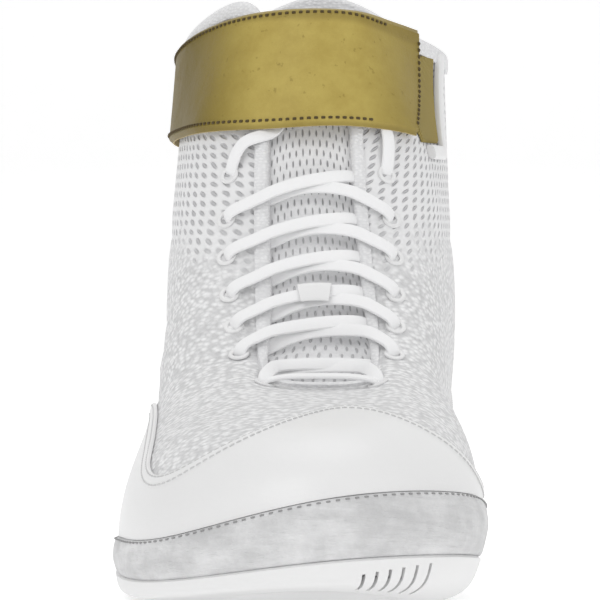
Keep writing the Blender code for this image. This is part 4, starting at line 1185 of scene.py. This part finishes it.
def ribbon(centres, normals, width, thickness, sides=12):
    """A woven lace along a path: a flat oval section, with girth and length in its cloth coordinates."""
    along = unit(np.gradient(centres, axis=0))
    sideways = unit(np.cross(along, normals))
    out = np.cross(sideways, along)
    turn = 2 * np.pi * np.arange(sides) / sides
    wide = np.sign(np.cos(turn)) * np.abs(np.cos(turn)) ** 0.7 * width / 2
    tall = np.sign(np.sin(turn)) * np.abs(np.sin(turn)) ** 0.6 * thickness / 2
    loop = np.array([centres + sideways * w + out * t for w, t in zip(wide, tall)])
    count = len(centres)
    uv = np.stack(np.broadcast_arrays(wide[:, None], lengths_along(centres)[None, :]), axis=-1) * 1000
    faces = quads(sides, count, True).tolist()
    faces.append([k * count for k in reversed(range(sides))])
    faces.append([k * count + count - 1 for k in range(sides)])
    return loop, uv, faces


def throat_path(columns, across, lift):
    """Points and outward directions of a path over the throat."""
    columns, across, lift = (np.asarray(a, float) for a in (columns, across, lift))
    points = bridge(columns, across, lift)
    return points, unit(bridge(columns, across, lift + 0.001) - points)


def column_at_height(across, height, lift):
    """The column where a line over the throat, at one place across it, reaches a height."""
    columns = np.linspace(2, column_at(6.8), 97)
    heights = bridge(columns, np.full(97, float(across)), np.full(97, lift))[:, 2]
    return float(np.interp(height, heights, columns))


def smooth_route(route, count):
    """Points along a path that rounds the corners of a route of (height, place across, lift)."""
    line = np.array(route, float)
    for _ in range(4):
        near, far = 0.75 * line[:-1] + 0.25 * line[1:], 0.25 * line[:-1] + 0.75 * line[1:]
        line = np.concatenate([line[:1], np.stack([near, far], axis=1).reshape(-1, 3), line[-1:]])
    length = lengths_along(line * ROUTE_SCALE)
    return points_at(np.linspace(0, length[-1], count), length, line)


# A run of lace by place across the throat: height over the straight line between its eyelets, lift
RUN_OVER = (
    (2.02, 0.0, -0.0035),
    (2.0, 0.0, 0.0006),
    (1.8, 0.0008, 0.0022),
    (1.3, 0.0014, 0.0028),
    (0.7, 0.0028, 0.0033),
    (0.0, 0.0034, 0.0036),
    (-0.5, 0.0032, 0.0026),
    (-0.85, 0.0032, 0.0004),
    (-1.15, 0.0026, -0.0030),
    (-1.6, 0.0014, -0.0034),
)
RUN_UNDER = (
    (2.02, 0.0, -0.0035),
    (2.0, 0.0, 0.0006),
    (1.8, 0.0008, 0.0022),
    (1.3, 0.0018, 0.0028),
    (0.7, 0.0030, 0.0030),
    (0.0, 0.0022, 0.0022),
    (-0.5, -0.0006, 0.0010),
    (-0.85, -0.0032, -0.0008),
    (-1.15, -0.0036, -0.0030),
    (-1.6, -0.0026, -0.0034),
)


# Share of its height to which the lowest pair of runs rises, under which the straight lowest run lies
LOWEST_RISE = 0.5


def bottom_bar():
    """The straight run between the two lowest eyelets, bowed out over the foot of the throat."""
    columns = [eyelet_columns(-1)[0], eyelet_columns(1)[0]]
    ends, normals = throat_path(columns, [-2.0, 2.0], [0.0, 0.0])
    up = unit(normals.mean(axis=0))
    centre = column_at_height(0, ends[:, 2].mean(), 0.0)
    bulge = (throat_path([centre], [0.0], [0.0])[0][0] - ends.mean(axis=0)) @ up
    share = np.linspace(0, 1, 61)[:, None]
    bow = (bulge + LACE_LIFT + LACE_BOW) * (1 - (2 * share - 1) ** 4) + 0.0006
    line = ends[:1] * (1 - share) + ends[1:] * share + up * bow
    sunk = normals[:, None] * -np.array(BAR_DEPTHS)[:, None]
    line = np.concatenate([ends[0] + sunk[0], line, ends[1] + sunk[1][::-1]])
    turned = normals[:1] * (1 - share) + normals[1:] * share
    turned = np.concatenate([[normals[0]] * len(BAR_DEPTHS), turned, [normals[1]] * len(BAR_DEPTHS)])
    soften(line, 5)
    return line, unit(turned)


def route_path(route, side, count):
    """Points and outward directions of a route of (height, place across, lift) on one side."""
    line = smooth_route(route, count)
    columns = [column_at_height(side * a, h, 0.0) for h, a, _ in line]
    return throat_path(columns, side * line[:, 1], line[:, 2])


def crossing(side, row, heights):
    """A run from its own eyelet over the tongue to where it dives under the other edge."""
    low, rise = heights[side][row], heights[-side][row + 1] - heights[side][row]
    share = 1 if row else LOWEST_RISE
    runs = RUN_OVER if side < 0 else RUN_UNDER
    route = [(low + share * (rise * (2 - a) / 4 + arch), a, lift) for a, arch, lift in runs]
    return route_path(route, side, 72)


def dress_lace():
    """The straight lowest run and every crossing above it, as one mesh."""
    heights = {side: [skin(*place, 0.0)[2] for place in eyelet_places(side)] for side in (-1, 1)}
    paths = [bottom_bar()]
    paths += [crossing(side, row, heights) for row in range(len(EYELET_HEIGHTS) - 1) for side in (-1, 1)]
    points, uvs, faces, count = [], [], [], 0
    for path in paths:
        loop, uv, new = ribbon(*path, LACE_WIDTH, LACE_THICKNESS)
        points.append(loop.reshape(-1, 3))
        uvs.append(uv.reshape(-1, 2))
        faces += [[k + count for k in face] for face in new]
        count += len(points[-1])
    piece = add_piece("shoe_lace", np.concatenate(points), faces, FINISHES["lace"], np.concatenate(uvs))
    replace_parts(piece, "lace_crossings")


def dress_lace_end(name, node, side, route):
    """A lace end from inside its eyelet up to where it goes under the strap: a cord."""
    out = [(EYELET_SHARES[-1], 2.01, -0.0035), (EYELET_SHARES[-1] + 0.001, 2.0, 0.0004)]
    points, normals = route_path(np.array(out + list(route[1:])) * (COLLAR_HEIGHT, 1, 1), side, 60)
    loop, uv, faces = ribbon(points, normals, LACE_WIDTH, LACE_THICKNESS)
    piece = add_piece(name, loop, faces, FINISHES["lace"], uv)
    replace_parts(piece, node)


def dress_eyelets():
    """A thin round ring on the upper at each lace hole."""
    middle_radius, thick = (EYELET_RADIUS + EYELET_HOLE) / 2, (EYELET_RADIUS - EYELET_HOLE) / 2
    turn = 2 * np.pi * np.arange(41)[:, None] / 40
    for label, side in (("lateral", -1), ("medial", 1)):
        for number, place in enumerate(eyelet_places(side), start=1):
            middle = skin(*place, 0.0)
            normal = skin(*place, 1.0) - middle
            first = unit(np.cross(normal, (0.0, 0.0, 1.0)))
            round_it = first * np.cos(turn) + np.cross(normal, first) * np.sin(turn)
            loop = []
            for bend in np.linspace(0, 2 * np.pi, 9)[:-1]:
                out = middle_radius + thick * math.cos(bend)
                loop.append(middle + normal * (EYELET_RISE + EYELET_SWELL * math.sin(bend)) + round_it * out)
            faces = quads(len(loop), len(turn), True).tolist()
            piece = add_piece(f"shoe_eyelet_{label}_{number}", np.array(loop), faces, FINISHES["leather"])
            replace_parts(piece, f"eyelet_{label}_{number}")


def strap_point(column, level, slope, offset):
    """A point of a strap line over a column, which goes straight on up where the line passes the edge."""
    point = skin(row_at_level(column, level, slope), column, offset)
    point[2] -= strap_rise(point, level, slope)
    return point


def strap_line(level, share):
    """Points of one line of the strap, from its end on the medial side to its anchor on the lateral side."""
    edge = throat_column(level)
    lateral = np.linspace(edge, column_at(SECTIONS - 2), 61)
    reach = 5.0 * SECTION_COLUMNS[5] / 3

    def half(columns, turned, low, far):
        seat = STRAP_SEAT_THROAT + (far - STRAP_SEAT_THROAT) * np.clip(np.abs(columns - edge) / reach, 0, 1)
        slope = strap_slope(level, low)
        places = COLUMNS - columns if turned else columns
        return np.array([strap_point(c, level, slope, offset) for c, offset in zip(places, seat)])

    left = half(lateral, False, STRAP_SLOPE_LATERAL, STRAP_SEAT_LATERAL)
    right = half(lateral[:30], True, STRAP_SLOPE_MEDIAL, STRAP_SEAT_MEDIAL)
    left = left[left[:, 1] < STRAP_ANCHOR_RUN - ORIGIN_RUN]
    ends = np.nonzero(right[:, 0] > STRAP_END)[0]
    if len(ends):
        k = ends[0]
        part = (STRAP_END - right[k - 1, 0]) / (right[k, 0] - right[k - 1, 0])
        right = np.concatenate([right[:k], [right[k - 1] * (1 - part) + right[k] * part]])
    span = np.linalg.norm(left[0] - right[0])
    t = np.linspace(0, 1, 25)[1:-1, None]
    from_right, from_left = unit(right[0] - right[4]) * span, unit(left[0] - left[4]) * span
    front = hermite(right[0], left[0], from_right, -from_left, t)
    line = np.concatenate([right[::-1], front, left])
    length = lengths_along(line)
    return points_at(share * length[-1], length, line)


def strap_grid():
    """Inner face of the strap, level by level, and its outward directions."""
    share = np.linspace(0, 1, 141)
    levels = STRAP_BOTTOM + STRAP_WIDTH * np.linspace(0, 1, 29)
    inner = np.array([strap_line(level, share) for level in levels])
    soften(inner.swapaxes(0, 1), 24)
    return inner, unit(np.cross(np.gradient(inner, axis=0), np.gradient(inner, axis=1)))


def strap_seams(outer, normals, up, along):
    """The strap's sewn lines along both edges and down its free end, with their outward directions."""
    seams = []
    columns = range(STRAP_SEAM_START, outer.shape[1] - 1)
    for depth in (np.full(outer.shape[1], STRAP_SEAM_INSET), up[-1] - STRAP_SEAM_INSET):
        line = [points_at(depth[k], up[:, k], outer[:, k]) for k in columns]
        seams.append((np.array(line), normals[len(normals) // 2, list(columns)]))
    rows = range(2, len(outer) - 2)
    line = [points_at(STRAP_END_INSET, along[k], outer[k]) for k in rows]
    seams.append((np.array(line), normals[2:-2, 4]))
    return seams


def dress_strap():
    inner, normals = strap_grid()
    up, along = lengths_along(inner), lengths_along(inner, axis=1)
    near = np.minimum(np.minimum(up, up[-1:] - up), np.minimum(along, along[:, -1:] - along))
    outer = inner + normals * (STRAP_THICKNESS * edge_round(near, STRAP_EDGE))[..., None]
    uv = np.stack([along, up], axis=-1) * 1000
    slots = [0] * len(outer) + [1] * len(inner)
    finishes = [FINISHES["gold"], FINISHES["cut_edge"]]
    piece = band("shoe_strap", wrapped(outer, inner), wrapped(uv, uv), finishes, False, slots)
    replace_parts(piece, "ankle_strap")
    seams = strap_seams(outer, normals, up, along)
    stitches("shoe_strap_stitches", seams, 0.0021, 0.0012, 0.00046, "strap_thread_painted_shade")


PATCH_LOW = STRAP_BOTTOM - PATCH_DROP
PATCH_HIGH = PATCH_LOW + PATCH_HEIGHT


def patch_back(level):
    """Column of the patch's back edge, which leans back going up."""
    lean = PATCH_LEAN * np.clip((level - PATCH_LOW) / PATCH_HEIGHT, 0, 1)
    return column_at(PATCH_END + PATCH_LONGER + lean)


def dress_patch():
    levels, places = np.linspace(PATCH_LOW, PATCH_HIGH, 33), np.arange(25)
    columns = [np.linspace(column_at(PATCH_START), patch_back(level), len(places))[::-1] for level in levels]
    columns = COLUMNS - np.array(columns)
    rows = np.array([[row_at_level(c, level) for c in line] for line, level in zip(columns, levels)])
    from_ends = np.minimum(places, places[::-1]) * 0.001
    near = np.minimum(np.minimum(levels - PATCH_LOW, PATCH_HIGH - levels)[:, None], from_ends)
    outer = skin(rows, columns, CLEARANCE + PATCH_THICKNESS * edge_round(near, PATCH_EDGE))
    inner = skin(rows, columns, CLEARANCE)
    uv = cloth_uv(rows, columns - COLUMNS)
    piece = band("shoe_patch", wrapped(outer, inner), wrapped(uv, uv), FINISHES["loop"], False)
    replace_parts(piece, "strap_patch")


def dress_patch_binding():
    """The puffy white binding, down behind the patch and forward below it."""
    step = SECTION_COLUMNS[7] / 3
    below = PATCH_LOW - PATCH_BINDING_WIDTH / 2 - 4 * CLEARANCE
    down = np.linspace(PATCH_HIGH, below + 0.0012, 30)
    beside = np.array([patch_back(level) for level in down]) + 0.32 * step
    under = np.linspace(beside[-1] - 0.2 * step, column_at(PATCH_START) + 0.6 * step, 36)
    level, column = np.concatenate([down, np.full(len(under), below)]), np.concatenate([beside, under])
    soften(level, 3)
    soften(column, 3)
    place = COLUMNS - column
    rows = np.array([row_at_level(c, z) for c, z in zip(place, level)])
    points = skin(rows, place, CLEARANCE + 0.0003 + PATCH_BINDING_THICKNESS / 2)
    normals = skin(rows, place, 1.0) - skin(rows, place, 0.0)
    width, thickness = PATCH_BINDING_WIDTH * 1.2, PATCH_BINDING_THICKNESS * 2
    loop, uv, faces = ribbon(points, normals, width, thickness, 14)
    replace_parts(add_piece("shoe_patch_binding", loop, faces, FINISHES["leather"], uv), "patch_binding")


def dress_keeper():
    """The small bare tab over one lace crossing, set a little towards the lateral side."""
    column = column_at_height(0, KEEPER_RISE - KEEPER_LOWER, LACE_LIFT + LACE_BOW)
    edges = bridge(np.full(2, column), np.array([-1, 1]), np.zeros(2))
    reach = KEEPER_WIDTH / np.linalg.norm(edges[1] - edges[0])
    across = np.linspace(KEEPER_LATERAL * reach, KEEPER_MEDIAL * reach, 15)
    lift = LACE_LIFT + LACE_BOW + LACE_THICKNESS / 2
    points, normals = throat_path(np.full(15, column), across, np.full(15, lift))
    loop, uv, faces = ribbon(points, normals, KEEPER_HEIGHT, KEEPER_THICKNESS, 14)
    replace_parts(add_piece("shoe_keeper", loop, faces, FINISHES["leather"], uv), "lace_keeper")


def box_corners(centre, along, out, up):
    """Eight corners of a box given by its centre and half sizes as three vectors, right-handed."""
    centre, along, out, up = (np.asarray(a, float) for a in (centre, along, out, up))
    signs = [(a, b, c) for c in (-1, 1) for b in (-1, 1) for a in (-1, 1)]
    return np.array([centre + a * along + b * out + c * up for a, b, c in signs])


def groove_boxes():
    """One box a cross groove, from under the floor to the groove's depth."""
    boxes = []
    for share in GROOVES:
        top = tread_height(share * LENGTH) + GROOVE_DEPTH
        centre = (0, share * LENGTH - ORIGIN_RUN, top - LENGTH / 2)
        boxes.append(box_corners(centre, (LENGTH / 2, 0, 0), (0, GROOVE_WIDTH / 2, 0), (0, 0, LENGTH / 2)))
    return boxes


def slot_boxes(wall):
    """One box a flex slot, upright on the big toe's side of the toe's wall, given the wall's upper ring."""
    boxes = []
    front = np.arange(COLUMNS - 1, COLUMNS - round(column_at(3)), -1)
    for k in range(SLOTS):
        across = SLOT_START + k * SLOT_PITCH
        column = np.interp(across, wall[front, 0], front)
        share = column - math.floor(column)
        first, then = math.floor(column) % COLUMNS, (math.floor(column) + 1) % COLUMNS
        face = wall[first] * (1 - share) + wall[then] * share
        along = unit((wall[first] - wall[then]) * (1, 1, 0))
        out = np.cross(along, (0, 0, -1))
        tall = SLOT_HEIGHT + k * SLOT_GROWTH
        centre = face + out * (SLOT_REACH - SLOT_SUNK * SLOT_DEPTH)
        centre[2] = face[2] - SLOT_DROP
        boxes.append(box_corners(centre, along * SLOT_WIDTH / 2, out * SLOT_REACH, (0, 0, tall)))
    return boxes


def sole_rings():
    """Rings of the sole from the tread's edge up the rounded wall, over its lip and down to the bed."""
    columns = RING % COLUMNS
    base, flat = OUTER[0][columns], NORMALS[0][columns]
    bed_ring = base + flat * CLEARANCE
    bed_ring[:, 2] -= CLEARANCE
    wall_in = skin(float(SOLE_ROW), RING, CLEARANCE)
    wall_out = skin(float(SOLE_ROW), RING, CLEARANCE + SOLE_WALL)
    tread = tread_height(base[:, 1] + ORIGIN_RUN)
    belly = base + flat * (CLEARANCE + 0.4 * SOLE_WALL)
    belly[:, 2] = np.minimum(tread + 0.45 * (wall_out[:, 2] - tread), base[:, 2] - 0.4 * SOLE_WALL)
    edge = base - flat * SOLE_EDGE_ROUNDING
    edge[:, 2] = tread
    corner = base - flat * 0.45 * SOLE_EDGE_ROUNDING
    corner[:, 2] = tread + np.minimum(0.14 * SOLE_EDGE_ROUNDING, 0.5 * (belly[:, 2] - tread))
    profile = np.stack([edge, corner, belly, wall_out], axis=1)
    rounded = [natural_curve(profile, np.full(len(RING), s)) for s in np.linspace(0, 1, 19)]
    lip = wall_out * 0.5 + wall_in * 0.5
    lip[:, 2] += SOLE_LIP
    return np.array(rounded + [lip, wall_in, bed_ring])


def sole_cover(ring, first, start, height):
    """Points and faces that close one ring of the sole from side to side, at the given height by run.

    first is the number of the ring's first point, start the number of the first new one."""
    points = []
    for k in range(1, HALF):
        lateral, medial = ring[HALF + k], ring[HALF - k]
        for place in range(1, SOLE_ACROSS):
            point = lateral + (medial - lateral) * place / SOLE_ACROSS
            point[2] = height(point[1] + ORIGIN_RUN)
            points.append(point)

    def at(k, place):
        if place in (0, SOLE_ACROSS):
            return first + HALF + (k if place == 0 else -k)
        return start + (k - 1) * (SOLE_ACROSS - 1) + place - 1

    faces = []
    for place in range(SOLE_ACROSS):
        faces.append([first + HALF, at(1, place), at(1, place + 1)])
        for k in range(1, HALF - 1):
            faces.append([at(k, place), at(k + 1, place), at(k + 1, place + 1), at(k, place + 1)])
        faces.append([at(HALF - 1, place), first + 2 * HALF, at(HALF - 1, place + 1)])
    return points, faces


def cut_boxes(piece, name, boxes):
    """Cuts a row of boxes out of a piece."""
    faces = [[8 * k + corner for corner in face] for k in range(len(boxes)) for face in BOX_FACES]
    mesh = bpy.data.meshes.new(name)
    mesh.from_pydata(np.concatenate(boxes).tolist(), [], faces)
    cutter = bpy.data.objects.new(name, mesh)
    bpy.context.scene.collection.objects.link(cutter)
    cutter.hide_render = True
    cut = piece.modifiers.new(name, "BOOLEAN")
    cut.operation = "DIFFERENCE"
    cut.object = cutter
    bpy.context.view_layer.objects.active = piece
    bpy.ops.object.modifier_apply(modifier=cut.name)
    bpy.data.objects.remove(cutter, do_unlink=True)


def dress_sole():
    rings = sole_rings()
    points = list(rings.reshape(-1, 3))
    faces = quads(len(rings), len(RING), False).tolist()
    along = cloth_uv(0, RING)[:, 0]
    uv = np.stack(np.broadcast_arrays(along[None, :], np.arange(len(rings))[:, None]), axis=-1)
    uv = list(uv.reshape(-1, 2).astype(float))
    under, over = sole_cover(rings[0], 0, len(points), tread_height)
    points += under
    faces += over
    first = (len(rings) - 1) * len(RING)
    inside, bed = sole_cover(rings[-1], first, len(points), lambda run: bed_height(run) - CLEARANCE)
    points += inside
    faces += [face[::-1] for face in bed]
    uv += [point[:2] * 1000 for point in under + inside]
    sole = weld(add_piece("shoe_outsole", points, faces, FINISHES["rubber"], uv))
    wall = skin(float(SOLE_ROW), np.arange(COLUMNS), CLEARANCE + SOLE_WALL)
    cut_boxes(sole, "tread_cutter", groove_boxes())
    cut_boxes(sole, "slot_cutter", slot_boxes(wall))
    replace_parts(sole, "outsole")


def dress_all():
    dress_upper()
    dress_rand()
    dress_overlay("shoe_toe_overlay", "toe_overlay", -column_at(OVERLAY_MEDIAL), column_at(OVERLAY_LATERAL))
    start = column_at(COUNTER_START)
    dress_overlay("shoe_heel_counter", "heel_counter", start, COLUMNS - start)
    dress_edge_binding()
    dress_tongue()
    dress_eyelets()
    dress_lace()
    dress_lace_end("shoe_lace_end_lateral", "lace_end_lateral", -1, LATERAL_END)
    dress_lace_end("shoe_lace_end_medial", "lace_end_medial", 1, MEDIAL_END)
    dress_keeper()
    dress_strap()
    dress_patch()
    dress_patch_binding()
    dress_sole()
    insole = frame["nodes"]["insole"].data
    insole.materials.clear()
    insole.materials.append(FINISHES["lining"])


dress_all()


# Floor, light and camera


def stage():
    """A pale floor that curves up into a backdrop."""
    profile = [(-3.0, 0.0), (1.2, 0.0), (1.6, 0.03), (1.95, 0.15), (2.2, 0.4), (2.35, 0.8), (2.4, 3.5)]
    points = [(x, y, z) for y, z in profile for x in (-4.0, 4.0)]
    faces = [(2 * k, 2 * k + 1, 2 * k + 3, 2 * k + 2) for k in range(len(profile) - 1)]
    mesh = bpy.data.meshes.new("floor")
    mesh.from_pydata(points, [], faces)
    paint = Finish("scene_floor", (0.95, 0.95, 0.95), 0.9, Emission_Color=(1, 1, 1, 1), Emission_Strength=0.3)
    mesh.materials.append(paint.material)
    mesh.shade_smooth()
    floor = bpy.data.objects.new("floor", mesh)
    bpy.context.scene.collection.objects.link(floor)


def light(name, place, aim, size, power):
    lamp = bpy.data.lights.new(name, "AREA")
    lamp.shape = "DISK"
    lamp.size = size
    lamp.energy = power
    made = bpy.data.objects.new(name, lamp)
    made.location = place
    made.rotation_euler = (Vector(aim) - Vector(place)).to_track_quat("-Z", "Y").to_euler()
    bpy.context.scene.collection.objects.link(made)


def camera():
    """The photo's own view: from the front, a little to the medial side, almost level."""
    turn, drop = math.radians(CAMERA_TURN), math.atan(CAMERA_DROP_PIXELS / FOCAL_PIXELS)
    lens = bpy.data.cameras.new("camera")
    lens.sensor_width = SENSOR_WIDTH
    lens.lens = SENSOR_WIDTH * FOCAL_PIXELS / IMAGE_PIXELS
    lens.clip_start = 0.05
    made = bpy.data.objects.new("camera", lens)
    front = CAMERA_PIVOT - CAMERA_DISTANCE * math.cos(turn)
    made.location = (CAMERA_DISTANCE * math.sin(turn), front, CAMERA_HEIGHT)
    ahead = Vector((-math.sin(turn) * math.cos(drop), math.cos(turn) * math.cos(drop), -math.sin(drop)))
    made.rotation_euler = ahead.to_track_quat("-Z", "Y").to_euler()
    bpy.context.scene.collection.objects.link(made)
    bpy.context.scene.camera = made


def world():
    made = bpy.data.worlds.new("studio")
    made.use_nodes = True
    back = made.node_tree.nodes["Background"]
    back.inputs["Color"].default_value = (1, 1, 1, 1)
    back.inputs["Strength"].default_value = 0.53
    bpy.context.scene.world = made
    bpy.context.scene.view_settings.view_transform = "Standard"


stage()
light("key", (-0.7, -1.2, 1.3), (0, 0, 0.08), 0.9, 6.3)
light("fill", (0.9, -1.0, 0.7), (0, 0, 0.08), 0.9, 2.5)
light("top", (0.0, 0.2, 1.5), (0, 0, 0.1), 1.2, 5.4)
camera()
world()
